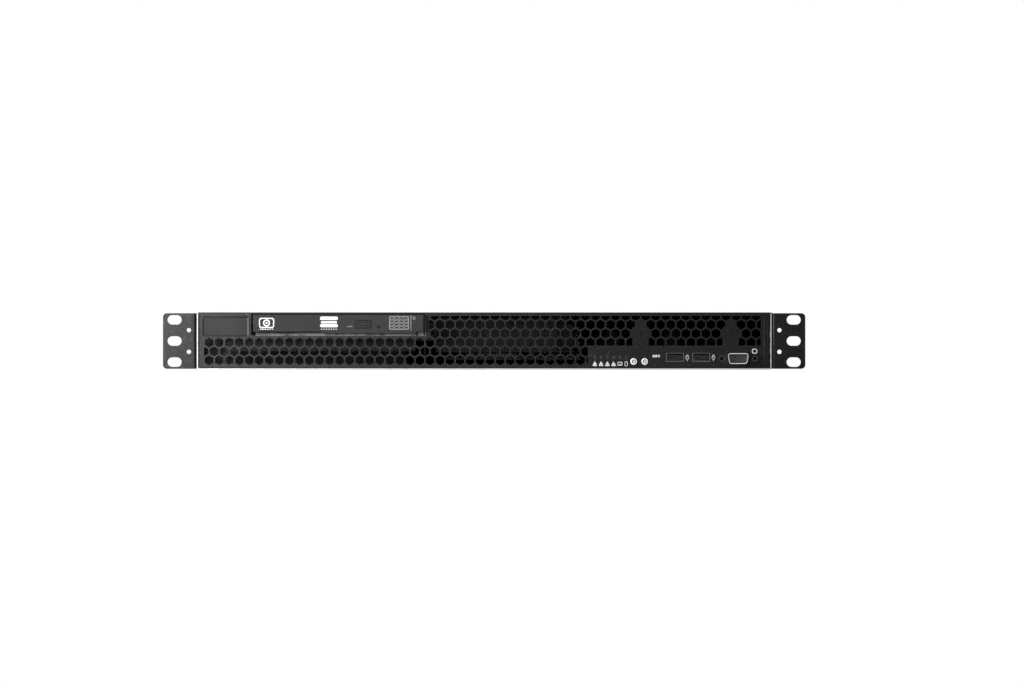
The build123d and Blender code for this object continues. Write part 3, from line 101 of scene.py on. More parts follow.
def middle(node):
    """The middle of a CAD node's box, in millimetres."""
    return np.add(*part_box(node)) / 2 / MM


def front_of(node):
    """The middle of the front side of a CAD node's box, in millimetres."""
    spot = middle(node)
    return spot[0], corners(node)[0][1], spot[2]


def place(local, at, side):
    """Local points (a, b, c), c pointing out of the side, set down at a point of the server:
    at + a A + b B + c C, with A, B and C the three axes of that side."""
    return np.asarray(at, float) + np.asarray(local, float) @ np.array(SIDES[side], float)


def skin(grid, ring=False):
    """Points and faces of a grid of two parameters whose columns run once round. The faces
    join (i, j), (i, j+1), (i+1, j+1) and (i+1, j). As a ring, the rows join up end to end;
    otherwise a fan round the mean of each end row closes the shape."""
    rows, columns = grid.shape[:2]
    index = np.arange(rows * columns).reshape(rows, columns)
    low = index if ring else index[:-1]
    high = np.roll(index, -1, axis=0) if ring else index[1:]
    quads = np.stack([low, np.roll(low, -1, 1), np.roll(high, -1, 1), high], -1).reshape(-1, 4)
    points = grid.reshape(-1, 3)
    if ring:
        return points, quads, np.zeros((0, 3), int)
    hubs = np.stack([grid[0].mean(0), grid[-1].mean(0)])
    first = np.full(columns, rows * columns)
    start = np.stack([first, np.roll(index[0], -1), index[0]], -1)
    end = np.stack([first + 1, index[-1], np.roll(index[-1], -1)], -1)
    return np.concatenate([points, hubs]), quads, np.concatenate([start, end])


def build(name, skins, finish, body):
    """One object of several closed skins. Their points are joined to one list, each skin's
    face numbers shifted by the points before it, and every face turned to point outwards."""
    points, faces, start = [], [], 0
    for some_points, quads, fans in skins:
        points.append(some_points)
        faces += (quads + start).tolist() + (fans + start).tolist()
        start += len(some_points)
    mesh = bpy.data.meshes.new(name)
    mesh.from_pydata((np.concatenate(points) * MM).tolist(), [], faces)
    shell = bmesh.new()
    shell.from_mesh(mesh)
    bmesh.ops.recalc_face_normals(shell, faces=shell.faces)
    shell.to_mesh(mesh)
    shell.free()
    mesh.shade_smooth()
    mesh.set_sharp_from_angle(angle=0.6)
    piece = bpy.data.objects.new(name, mesh)
    bpy.context.scene.collection.objects.link(piece)
    mesh.materials.append(finish)
    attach(piece, body)
    return piece


def turned(profile, at, side, count=32, ripple=0.0, teeth=0, cross=0.0):
    """A turned part. Row i of its profile is (radius r, height h, share s), and the point at
    angle a is r m (cos a, sin a), h, where m is 1 + ripple cos(teeth a) for a knurl, or
    1 - s + s cross (0.3 + 0.7 |cos 2a|^5) in rows that sink into a cross recess."""
    rows = np.array([row if len(row) > 2 else (*row, 0.0) for row in profile], float)
    angle = np.arange(count) * TURN / count
    arms = 0.3 + 0.7 * np.abs(np.cos(2 * angle)) ** 5
    share = rows[:, 2:3]
    shape = (1 + ripple * np.cos(teeth * angle)) * (1 - share) + share * cross * arms
    radius = rows[:, 0:1] * shape
    local = np.stack(
        [radius * np.cos(angle), radius * np.sin(angle), rows[:, 1:2] + 0 * radius], -1
    )
    return skin(place(local, at, side))


def rounded(half_wide, half_high, corner, steps=3):
    """Outline of a rounded rectangle: corner middles (+-(w - r), +-(h - r)), each with a
    quarter turn r (cos a, sin a) round it."""
    angle = (np.arange(4)[:, None] * TURN / 4 + np.linspace(0, TURN / 4, steps + 1)).ravel()
    sign = np.array([[1, 1], [-1, 1], [-1, -1], [1, -1]]).repeat(steps + 1, 0)
    inner = np.array([half_wide - corner, half_high - corner])
    return sign * inner + corner * np.stack([np.cos(angle), np.sin(angle)], -1)


def block(wide, high, corner, profile, at, side, steps=3):
    """A moulded block: the outline of a rounded rectangle carried up a profile of
    (draw-in d, height h), at each step with half sizes w - d and h - d."""
    rows = []
    for inset, height in profile:
        soft = max(corner - inset, 0.01)
        outline = rounded(wide / 2 - inset, high / 2 - inset, soft, steps)
        rows.append(np.column_stack([outline, np.full(len(outline), height)]))
    return skin(place(np.array(rows), at, side))


def normals(path, closed):
    """Unit normals of a level path: its steps from point to point, turned by a quarter."""
    steps = np.roll(path, -1, 0) - np.roll(path, 1, 0) if closed else np.gradient(path, axis=0)
    steps /= np.linalg.norm(steps, axis=1)[:, None]
    return np.stack([-steps[:, 1], steps[:, 0]], -1)


def strip(path, wide, at, thick=SKIN, side="front", closed=True):
    """A flat strip of ink or sheet: a rectangle of that width and thickness carried along a
    path, its width along the path's normal, its foot sunk a little under the surface."""
    path = np.asarray(path, float)
    normal = normals(path, closed)
    section = [(-wide / 2, FOOT), (wide / 2, FOOT), (wide / 2, thick), (-wide / 2, thick)]
    local = np.stack(
        [np.column_stack([path + normal * s, np.full(len(path), h)]) for s, h in section], 1
    )
    return skin(place(local, at, side), ring=closed)


def stroke(start, end, wide, at, thick=SKIN, side="front"):
    """A straight strip, with a third point half way."""
    share = np.array([0.0, 0.5, 1.0])[:, None]
    path = np.array(start, float) * (1 - share) + np.array(end, float) * share
    return strip(path, wide, at, thick, side, closed=False)


def dab(wide, high, corner, at, steps=3, thick=SKIN):
    """A flat rounded rectangle of ink on the front."""
    return block(wide, high, corner, [(0, FOOT), (0, thick)], at, "front", steps)


def wire(path, radius, at, side, closed=True, count=8):
    """A round wire: a circle of that radius carried along a level path."""
    path = np.asarray(path, float)
    normal = normals(path, closed)
    angle = np.arange(count) * TURN / count
    flat = path[:, None, :] + normal[:, None, :] * (radius * np.cos(angle))[None, :, None]
    height = np.broadcast_to(radius * np.sin(angle), flat.shape[:2])
    return skin(place(np.concatenate([flat, height[..., None]], -1), at, side), ring=closed)


def circle(radius, count=32, start=0.0, sweep=1.0):
    """Points of a circle, or of an arc that is a share of the turn."""
    angle = (start + sweep * np.arange(count) / (count if sweep == 1.0 else count - 1)) * TURN
    return np.stack([radius * np.cos(angle), radius * np.sin(angle)], -1)


def polygon(points, steps=4):
    """Points along the straight sides of a polygon, each side cut in equal steps."""
    points = np.array(points, float)
    share = (np.arange(steps) / steps)[None, :, None]
    sides = points[:, None, :] * (1 - share) + np.roll(points, -1, 0)[:, None, :] * share
    return sides.reshape(-1, 2)


def blade(root, tip, chord, depth, turn, at, spans=9, loop=16):
    """A swept fan blade that faces the front. At span s the radius is root + s (tip - root),
    and the section is a thin loop along the chord: t runs from -1/2 to 1/2 and back, thick by
    0.55 sin of its place, less towards the tip. The chord leans by 31 degrees, easing off to
    the tip, is cambered by t^2 and stays within the depth, and its middle sweeps forward by
    0.35 s^2 of a radian."""
    s = np.linspace(0, 1, spans)[:, None]
    place_round = np.arange(loop) * TURN / loop
    t = -np.cos(place_round)[None, :] / 2
    thick = 0.55 * np.sin(place_round)[None, :] * (1 - 0.55 * s)
    lean = np.radians(31.0) * (1 - 0.3 * s)
    radius = root + s * (tip - root)
    length = chord * (0.8 + 0.35 * s - 0.15 * s**2)
    round_way = length * t * np.cos(lean) + thick * np.sin(lean)
    out_way = length * t * np.sin(lean) + thick * np.cos(lean) - length * 0.28 * (t**2 - 0.25)
    angle = turn + 0.35 * s**2 + round_way / radius
    out_way = np.clip(out_way, -depth / 2, depth / 2)
    local = np.stack([radius * np.cos(angle), radius * np.sin(angle), out_way], -1)
    return skin(place(local, at, "front"))


# Materials


def math_node(operation, swapped=False):
    """A method that adds a Math node, its own socket before or after the other value."""

    def method(value, *others):
        parts = (*others, value) if swapped else (value, *others)
        return value.paint.node(
            "ShaderNodeMath", {"operation": operation}, dict(enumerate(parts))
        )

    return method


class Value:
    """A socket in a material, with Python's own arithmetic. Each operator adds a Math node."""

    def __init__(self, paint, socket):
        self.paint = paint
        self.socket = socket

    __add__ = __radd__ = math_node("ADD")
    __sub__ = math_node("SUBTRACT")
    __rsub__ = math_node("SUBTRACT", swapped=True)
    __mul__ = __rmul__ = math_node("MULTIPLY")
    __pow__ = math_node("POWER")
    __mod__ = math_node("FLOORED_MODULO")
    __lt__ = math_node("LESS_THAN")
    __gt__ = math_node("GREATER_THAN")
    __abs__ = math_node("ABSOLUTE")
    floor = math_node("FLOOR")


class Paint:
    """One material: patterns on Object coordinates, written as expressions."""

    def __init__(self, name):
        self.material = bpy.data.materials.new(name)
        self.material.use_nodes = True
        self.tree = self.material.node_tree
        self.shader = self.tree.nodes["Principled BSDF"]
        self.spot = self.node("ShaderNodeTexCoord", {}, {}, "Object")
        axes = self.node("ShaderNodeSeparateXYZ", {}, {0: self.spot}).socket.node.outputs
        self.x, self.y, self.z = (Value(self, axis) for axis in axes)

    def feed(self, socket, value):
        """Links a value to a socket, or sets a plain number or colour on it."""
        if isinstance(value, Value):
            self.tree.links.new(value.socket, socket)
        else:
            socket.default_value = value

    def node(self, kind, settings, inputs, output=0):
        """Adds a node of that type: first its settings, then its sockets."""
        made = self.tree.nodes.new(kind)
        for key, value in settings.items():
            setattr(made, key, value)
        for key, value in inputs.items():
            self.feed(made.inputs[key], value)
        return Value(self, made.outputs[output])

    def noise(self, scale, detail=2.0, stretch=(1, 1, 1)):
        """Noise at that scale, each coordinate first times its own number."""
        times = {"operation": "MULTIPLY"}
        spot = self.node("ShaderNodeVectorMath", times, {0: self.spot, 1: stretch})
        inputs = {"Vector": spot, "Scale": scale, "Detail": detail}
        return self.node("ShaderNodeTexNoise", {}, inputs)

    def cells(self, scale, output="Color"):
        """Voronoi cells: each cell's own number, or the distance to its point."""
        inputs = {"Vector": self.spot, "Scale": scale}
        found = self.node("ShaderNodeTexVoronoi", {}, inputs, output)
        if output == "Color":
            return self.node("ShaderNodeSeparateColor", {}, {0: found})
        return found

    def ease(self, value, low, high):
        """0 below the low value, 1 above the high one, smooth between."""
        inputs = {"Value": value, "From Min": low, "From Max": high}
        return self.node("ShaderNodeMapRange", {"interpolation_type": "SMOOTHSTEP"}, inputs)

    def within(self, value, low, high):
        """1 between the low and the high value, 0 outside."""
        return (value > low) * (value < high)

    def stripes(self, value, pitch, half):
        """Stripes at that pitch, reaching half to either side of their middles."""
        return abs(value % pitch - pitch / 2) < half

    def blend(self, share, first, second):
        """From the first colour to the second by a share."""
        inputs = {0: share, 6: self.colour(first), 7: self.colour(second)}
        return self.node("ShaderNodeMix", {"data_type": "RGBA"}, inputs, 2)

    def colour(self, value):
        """A value as it is, a number as that grey, and three numbers as a colour."""
        if isinstance(value, Value):
            return value
        if isinstance(value, (int, float)):
            return (value, value, value, 1.0)
        return (*value, 1.0)

    def done(self, colour, roughness, height, depth, metallic=0.0, strength=0.6, **constants):
        """Sets the shader. The height makes a bump of that depth in metres."""
        inputs = {"Height": height, "Distance": depth, "Strength": strength}
        bump = self.node("ShaderNodeBump", {}, inputs)
        self.feed(self.shader.inputs["Base Color"], self.colour(colour))
        self.feed(self.shader.inputs["Roughness"], roughness)
        self.feed(self.shader.inputs["Metallic"], metallic)
        self.feed(self.shader.inputs["Normal"], bump)
        for name, value in constants.items():
            self.shader.inputs[name.replace("_", " ")].default_value = value
        return self.material


def coat(name, tone, wear, shine):
    """Black powder coat, as its material, colour, roughness and grain: fine orange peel, slow
    mottling and a little pale dust."""
    p = Paint(name)
    grain = p.noise(2400)
    slow = p.noise(38, 3.0)
    dust = p.ease(p.noise(620, 5.0), 0.60, 0.72)
    rub = p.ease(p.noise(90, 4.0, (1, 1, 4)), 0.62, 0.75)
    colour = p.blend(slow, tone * 0.8, tone * 1.25)
    colour = p.blend(dust * wear, colour, 0.22)
    return p, colour, shine + grain * 0.14 + slow * 0.08 - rub * 0.08, grain


def coated(p, colour, rough, grain, gloss=0.02):
    """Sets the shader of a powder coat, which has hardly any gloss."""
    return p.done(colour, rough, grain, 0.00005, strength=0.5, Specular_IOR_Level=gloss)


def powder_coat(name, tone, wear=0.12, shine=0.45, gloss=0.02):
    """Plain powder coat."""
    return coated(*coat(name, tone, wear, shine), gloss)


def panel_paint():
    """Front panel: powder coat with painted highlights on the rolled shelf under the drive,
    stronger towards its right end, at the shelf's right corner and on the opening's right
    edge, a paler strip beside the display socket, and painted shade in the badge's recess,
    along both side edges and below the lower fold."""
    p, colour, rough, grain = coat("panel_powder_coat", 0.0145, 0.12, 0.45)
    shelf_left, shelf_right = -0.1716, -0.0512
    # Painted highlight on the rolled shelf, growing towards its right end
    shelf = p.within(p.x, shelf_left, shelf_right) * p.within(p.z, 0.0038, 0.0072)
    shelf = shelf * ((p.x - shelf_left) * 8.0 + 0.45)
    # Painted highlights at the shelf's right corner and along the opening's right edge
    corner = p.within(p.x, -0.0498, -0.0444) * p.within(p.z, 0.0036, 0.0068)
    side = p.within(p.x, -0.0452, -0.0440) * p.within(p.z, 0.0036, 0.0200)
    # Painted shade in the badge's recess and along both side edges
    recess = p.within(p.x, -0.2118, -0.1765) * p.within(p.y, -0.0018, -0.0012)
    edges = p.ease(abs(p.x), 0.2136, 0.2142)
    beside = p.within(p.x, 0.1808, 0.1822) * p.within(p.z, -0.0170, -0.0092)
    colour = p.blend(recess * 0.85, colour, 0.002)
    colour = p.blend(edges * 0.85, colour, 0.002)
    colour = p.blend(beside * 0.6, colour, 0.035)
    # The painted highlights, made patchy by noise
    pale = (shelf + corner * 1.3 + side * 0.7) * p.ease(p.noise(260, 3.0), 0.2, 0.6)
    colour = p.blend(pale, colour, 0.075)
    # Painted shade below the lower fold
    colour = p.blend(p.ease(p.z, -0.0204, -0.0194) * -0.75 + 0.75, colour, 0.003)
    return coated(p, colour, rough, grain)


def badge_paint():
    """Badge plate: smooth enamel, with painted shade along its left edge and a little along
    its top.
    """
    p, colour, rough, grain = coat("badge_enamel", 0.0135, 0.05, 0.3)
    # Painted shade along the left edge and the top
    left = 1 - p.ease(p.x, -0.2110, -0.2100)
    top = p.ease(p.z, 0.0170, 0.0178)
    colour = p.blend(left * 0.8 + top * 0.35, colour, 0.003)
    return coated(p, colour, rough, grain)


def ear_paint():
    """Rack ears: powder coat, with painted shade in the left one's bend, some 217 to 219 mm
    from the middle, and along the right one's fold a band of painted shade and a painted
    highlight line."""
    p, colour, rough, grain = coat("ear_powder_coat", 0.0134, 0.16, 0.45)
    front = p.y < 0.0005
    # Painted shade in the left ear's bend
    shade = 1 - p.ease(abs(p.x), 0.2166, 0.2190)
    # Painted shade on the right ear's fold, and a painted highlight line beside it, stronger
    # higher up
    fold = p.within(p.x, 0.2158, 0.2169) * front
    glint = p.within(p.x, 0.2170, 0.2178) * front
    colour = p.blend(shade * front * (p.x < 0), colour, 0.003)
    colour = p.blend(fold * 0.9, colour, 0.0015)
    colour = p.blend(glint * (p.ease(p.z, -0.008, 0.012) * 0.55 + 0.1), colour, 0.07)
    return coated(p, colour, rough, grain)


def zinc_sheet(name, tone=0.42, cell=240, shade_before=-1.0):
    """Zinc-coated sheet: a faint spangle of crystals, each at its own angle and tone, rolled
    streaks and a few fine scuffs. In front of the given y it is painted dull and dark, as
    shade inside the case."""
    p = Paint(name)
    crystal = p.cells(cell)
    streak = p.noise(60, 4.0, (1, 14, 14))
    scuff = p.ease(p.noise(420, 5.0, (1, 0.12, 1)), 0.66, 0.74)
    # Painted shade: dull and dark in front of the given y
    dull = p.y < shade_before
    colour = p.blend(crystal, tone * 0.95, (tone * 1.02, tone * 1.03, tone * 1.05))
    colour = p.blend(streak * 0.3, colour, tone * 0.82)
    colour = p.blend(scuff * 0.25, colour, tone * 1.3)
    colour = p.blend(dull * 0.9, colour, 0.02)
    rough = 0.36 + crystal * 0.04 + streak * 0.12
    height = crystal * 0.5 + streak * 0.3 - scuff * 0.4
    return p.done(colour, rough, height, 0.00003, metallic=1 - dull * 0.9, strength=0.4)


def moulded(name, tone, grain_scale=1500, shine=0.4, gloss=0.5, painted_light_share=0.0):
    """Moulded plastic: spark-eroded grain, a slow drift of tone and faint flow lines, and a
    share of painted light, lighter towards the middle of the front."""
    p = Paint(name)
    grain = p.noise(grain_scale, 3.0)
    flow = p.noise(26, 2.0, (1, 1, 3))
    fleck = p.ease(p.noise(900, 4.0), 0.64, 0.7)
    level = np.ones(3) * tone
    colour = p.blend(flow, level * 0.85, level * 1.18)
    colour = p.blend(fleck * 0.1, colour, level * 0.5 + 0.2)
    # Painted light: lighter towards the middle of the front, by the given share
    colour = p.blend(p.ease(p.x, -0.17, -0.03) * painted_light_share, colour, level * 2)
    rough = shine + grain * 0.16 + flow * 0.06
    return p.done(colour, rough, grain, 0.00004, strength=0.45, Specular_IOR_Level=gloss)


def bright_metal(name, tone=(0.72, 0.72, 0.73), rough=0.2, streaks=(1, 1, 1)):
    """Plated or machined metal: fine turning streaks, cloudy tone and tiny pits."""
    p = Paint(name)
    streak = p.noise(700, 3.0, streaks)
    cloud = p.noise(120, 3.0)
    pit = p.ease(p.noise(2600, 3.0), 0.68, 0.76)
    level = np.array(tone)
    colour = p.blend(cloud, level * 0.86, level * 1.08)
    colour = p.blend(pit * 0.25, colour, level * 0.5)
    roughness = rough + streak * 0.16 + pit * 0.2
    height = streak * 0.6 - pit
    return p.done(colour, roughness, height, 0.00002, metallic=1.0, strength=0.45)


def laminate(name, tone=(0.012, 0.075, 0.035), bare=1.0):
    """Circuit board: solder mask with darker copper fills, rows of traces that step
    sideways from cell to cell, plated holes and pale pads."""
    p = Paint(name)
    trace_pitch, trace_half = 0.00127, 0.00013
    level = np.array(tone)
    fill = p.cells(46)
    step = (fill * 6).floor() * 0.00021
    lines_x = p.stripes(p.x + step, trace_pitch, trace_half)
    lines_y = p.stripes(p.y + step, trace_pitch, trace_half)
    way = p.ease(p.noise(30), 0.46, 0.5)
    trace = lines_x * way + lines_y * (1 - way)
    pad = (p.cells(300, "Distance") < 0.17) * (p.noise(52) > 0.5)
    colour = p.blend(fill * 0.5, level, level * 0.6)
    colour = p.blend(trace * 0.5, colour, level * 2.2)
    colour = p.blend(pad, colour, (0.62 * bare, 0.55 * bare, 0.34 * bare))
    rough = 0.30 + p.noise(240, 3.0) * 0.14
    height = trace * 0.6 + pad
    return p.done(colour, rough, height, 0.00004, strength=0.5, Coat_Weight=0.25)


def ink(name, tone):
    """Screen-printed ink: nearly flat, a little thin and uneven at a small scale."""
    p = Paint(name)
    thin = p.noise(1800, 3.0)
    slow = p.noise(160)
    level = np.ones(3) * tone
    colour = p.blend(thin * 0.5 + slow * 0.3, level, level * 0.82)
    return p.done(colour, 0.5 + thin * 0.2, thin, 0.00002, strength=0.3)


def display_shell():
    """Front display socket: bright stamped shell, with the grey insulator where the core
    ends, behind y = -3.52 mm."""
    p = Paint("display_socket_shell")
    core = p.y > -0.00352
    grain = p.noise(2200)
    colour = p.blend(p.noise(300, 3.0), 0.66, 0.82)
    colour = p.blend(core, colour, 0.027)
    rough = 0.2 + grain * 0.12 + core * 0.3
    return p.done(colour, rough, grain, 0.00002, metallic=1 - core)


def usb_shell(name, tongue_low, tongue_high, middles, front, depth, rim, painted_mouth_tone=0.012):
    """Plug sockets: stamped shells whose metal inside the mouth is painted a dull flat tone,
    given per socket, as painted shade, with a dark tongue between two heights and 5.8 mm
    to either side of each socket's middle, toothed by its contacts."""
    p = Paint(name)
    tongue = sum(abs(p.x - spot * MM) < 0.0058 for spot in middles)
    tongue = tongue * p.within(p.z, tongue_low, tongue_high)
    # Painted shade: inside the mouth the shell is a dull flat tone in place of metal
    inside = 1 - (1 - p.within(p.y, front, front + depth)) * (1 - tongue)
    grain = p.noise(1800)
    colour = p.blend(p.noise(260, 3.0), rim * 0.8, rim * 1.1)
    colour = p.blend(inside, colour, painted_mouth_tone)
    colour = p.blend(tongue, colour, 0.0045)
    colour = p.blend(tongue * p.stripes(p.x, 0.0022, 0.0005), colour, 0.010)
    rough = 0.3 + grain * 0.16 + inside * 0.3
    return p.done(colour, rough, grain, 0.00002, metallic=1 - inside, Specular_IOR_Level=0.2)


def network_shell():
    """Network sockets: nickel shield outside, dark insulator inside the mouth, and a green
    and an amber lamp window in the upper corners of the face."""
    p = Paint("network_socket_shell")
    across = (p.x - 0.1565) % 0.019 - 0.0095
    mouth = (abs(across) < 0.00592) * p.within(p.z, -0.00922, -0.00218) * (p.y < 0.37979)
    lamp_row = p.within(p.z, -0.0014, 0.0006) * (p.y > 0.3797)
    amber = lamp_row * p.within(across, 0.0034, 0.0072)
    green = lamp_row * p.within(across, -0.0072, -0.0034)
    grain = p.noise(1900)
    colour = p.blend(p.noise(240, 3.0), 0.6, 0.74)
    colour = p.blend(mouth, colour, 0.02)
    colour = p.blend(amber, colour, (0.42, 0.25, 0.03))
    colour = p.blend(green, colour, (0.05, 0.24, 0.06))
    plastic = 1 - (1 - mouth) * (1 - amber) * (1 - green)
    return p.done(colour, 0.26 + grain * 0.14, grain, 0.00002, metallic=1 - plastic)


def rear_d_shell():
    """Rear D sockets: bright shells and flanges, dark insulator inside, gold dots in rows."""
    p = Paint("rear_d_socket_shell")
    pins = p.stripes(p.z + 0.0001, 0.00284, 0.0005) * p.stripes(p.x, 0.00277, 0.0005)
    core = (p.y < 0.3779) * (p.y > 0.3776)
    grain = p.noise(1900)
    colour = p.blend(p.noise(240, 3.0), 0.6, 0.76)
    colour = p.blend(core, colour, 0.03)
    colour = p.blend(core * pins, colour, (0.6, 0.45, 0.2))
    return p.done(colour, 0.26 + grain * 0.12, grain, 0.00002, metallic=1 - core * 0.8)


def memory_card():
    """Memory modules: green laminate with a gold edge and, where the solid stands off the
    card's face, black chips with a matt top."""
    p = Paint("memory_card_laminate")
    chip_face = p.within((p.x - 0.0375) % 0.0095, 0.0007, 0.0025)
    grain = p.noise(2400)
    fill = p.cells(220)
    gold_row = (p.z < -0.0072) * p.stripes(p.y, 0.001, 0.00033)
    colour = p.blend(fill * 0.6, (0.012, 0.08, 0.035), (0.008, 0.05, 0.022))
    colour = p.blend(gold_row, colour, (0.75, 0.56, 0.22))
    colour = p.blend(chip_face, colour, 0.014)
    return p.done(colour, 0.32 + grain * 0.16, fill * 0.5 + grain * 0.3, 0.00004)


def memory_holder():
    """Memory sockets: black moulding with two rows of contact slots in its top."""
    p = Paint("memory_socket_plastic")
    across = abs((p.x - 0.0375 + 0.00475) % 0.0095 - 0.00475)
    slots = p.within(across, 0.0009, 0.0021) * p.stripes(p.y, 0.001, 0.00024)
    slots = slots * (p.z > -0.00545)
    grain = p.noise(1700, 3.0)
    colour = p.blend(p.noise(40), 0.016, 0.028)
    colour = p.blend(slots, colour, (0.35, 0.27, 0.12))
    return p.done(colour, 0.36 + grain * 0.14, grain - slots, 0.00006)


def can_sleeve():
    """Capacitors: dark sleeve with a pale stripe down one side, bare aluminium top."""
    p = Paint("capacitor_sleeve")
    top = p.z > -0.00105
    mark = p.within(p.y, 0.3034, 0.3052) * (1 - top)
    colour = p.blend(p.noise(300, 3.0), (0.018, 0.016, 0.035), (0.03, 0.026, 0.05))
    colour = p.blend(mark, colour, 0.45)
    colour = p.blend(top, colour, 0.66)
    grain = p.noise(1500)
    return p.done(colour, 0.26 + grain * 0.15, grain, 0.00003, metallic=top)


def heatsink_alloy():
    """Heatsink: extruded fins with drawing streaks along the air, and painted shade low down
    between the fins, which leaves their tops lighter."""
    p = Paint("heatsink_aluminium")
    streak = p.noise(900, 3.0, (3, 0.15, 3))
    # Painted shade, darker low down between the fins
    low = 1 - p.ease(p.z, -0.004, 0.014)
    colour = p.blend(streak * 0.6 + p.noise(70, 3.0) * 0.3, 0.72, (0.8, 0.81, 0.83))
    colour = p.blend(low * 0.5, colour, 0.45)
    return p.done(colour, 0.24 + streak * 0.2, streak, 0.00003, metallic=1.0)


def board_header():
    """Board headers: dark slot connector and ivory power headers with a grid of pin wells;
    painted shade darkens the wells and the slot.
    """
    p = Paint("header_plastic")
    ivory = p.x > 0.1
    # Painted shade in the pin wells
    wells = p.stripes(p.x, 0.0042, 0.0012) * p.stripes(p.y, 0.0042, 0.0012)
    wells = wells * (p.z > -0.0015) * ivory
    # Painted shade along the slot connector's slot
    slot = p.within(p.x, -0.0224, -0.0196)
    grain = p.noise(1500, 3.0)
    colour = p.blend(ivory, 0.022, (0.6, 0.58, 0.5))
    colour = p.blend(wells, colour, 0.03)
    colour = p.blend(slot, colour, 0.01)
    return p.done(colour, 0.38 + grain * 0.14, grain - wells, 0.00008)


def riser_paint():
    """Riser card: green laminate, and a dark slot socket where the solid stands off it."""
    p = Paint("riser_laminate")
    contact = p.stripes(p.y, 0.001, 0.0003) * (p.x < -0.0326)
    grain = p.noise(1800)
    fill = p.cells(120)
    colour = p.blend(fill * 0.6, (0.012, 0.075, 0.035), (0.008, 0.05, 0.022))
    colour = p.blend(p.x < -0.02182, colour, 0.02)
    colour = p.blend(contact, colour, (0.6, 0.46, 0.2))
    return p.done(colour, 0.34 + grain * 0.14, grain + fill, 0.00004)


def inlet_paint():
    """Mains inlet: black moulding with three bright blades inside its well, the middle one
    higher than the two at its sides."""
    p = Paint("inlet_moulding")
    inlet_x, blade_aside, blade_half = -0.195, 0.007, 0.00102
    across = abs(p.x - inlet_x)
    outer = (abs(across - blade_aside) < blade_half) * p.within(p.z, -0.00472, -0.00068)
    inner = (across < blade_half) * p.within(p.z, -0.00072, 0.00332)
    blades = (outer + inner) * p.within(p.y, 0.3669, 0.3769)
    grain = p.noise(1500, 3.0)
    colour = p.blend(p.noise(60), 0.012, 0.02)
    colour = p.blend(blades, colour, 0.68)
    return p.done(colour, 0.36 + grain * 0.14 - blades * 0.12, grain, 0.00004, metallic=blades)


def supply_sheet():
    """Power supply: zinc sheet with a pressed seam round its lid and small rivet dimples."""
    p = Paint("supply_zinc_sheet")
    crystal = p.cells(230)
    streak = p.noise(70, 4.0, (14, 1, 14))
    seam = abs(p.z - 0.0155) < 0.00025
    rivet_x = abs((p.x + 0.2145) % 0.027 - 0.0135)
    rivet_y = abs((p.y - 0.226) % 0.038 - 0.019)
    rivet = ((rivet_x * rivet_x + rivet_y * rivet_y) < 0.0000045) * (p.z > 0.019)
    colour = p.blend(crystal, 0.43, 0.47)
    colour = p.blend(streak * 0.3, colour, 0.36)
    colour = p.blend(seam, colour, 0.12)
    height = crystal * 0.2 - seam * 2 + rivet * 2
    return p.done(colour, 0.36 + crystal * 0.06, height, 0.00008, metallic=1.0)


def drive_shell():
    """Optical drive: pressed steel with two long stiffening ribs and a shallow round
    pressing over the disc."""
    p = Paint("optical_drive_steel")
    streak = p.noise(500, 3.0, (10, 1, 1))
    far_x = p.x - SPINDLE[0] * MM
    far_y = p.y - SPINDLE[1] * MM
    far = (far_x * far_x + far_y * far_y) ** 0.5
    ring = p.ease(far, 0.0505, 0.0515) - p.ease(far, 0.0535, 0.0545)
    rib = 1 - p.ease(abs(abs(far_x) - 0.058), 0.0008, 0.0014)
    colour = p.blend(p.noise(50, 3.0), 0.54, 0.64)
    height = streak * 0.05 + ring + rib
    return p.done(colour, 0.28 + streak * 0.16, height, 0.0004, metallic=1.0)


def disk_shell(name, top, shade_height):
    """Hard drive: dark coated casting, painted near black below the given height as shade,
    and a lid of brushed aluminium whose edge is coated like the casting."""
    p = Paint(name)
    lid = (p.z > top - 0.0008) * p.within(p.y, 0.0290, 0.1575)
    streak = p.noise(700, 3.0, (8, 1, 1))
    grain = p.noise(1500, 4.0)
    colour = p.blend(grain, 0.006, 0.012)
    colour = p.blend(lid, colour, p.blend(streak, 0.42, 0.52))
    # Painted shade: near black below the given height
    colour = p.blend(p.z < shade_height, colour, 0.0015)
    rough = 0.44 + grain * 0.12 - lid * 0.14
    height = grain * 0.6 + streak * 0.3
    return p.done(colour, rough, height, 0.00004, metallic=lid, Specular_IOR_Level=0.15)


def pickup_paint():
    """Pickup sled: dark cast metal, with its highest place, under the lens, as a violet-blue
    gloss."""
    p = Paint("pickup_cast_metal")
    lens = p.z > 0.01352
    grain = p.noise(1600, 4.0)
    colour = p.blend(grain, 0.2, 0.34)
    colour = p.blend(lens, colour, (0.03, 0.03, 0.09))
    return p.done(colour, 0.42 + grain * 0.2 - lens * 0.35, grain, 0.00005, metallic=1 - lens)


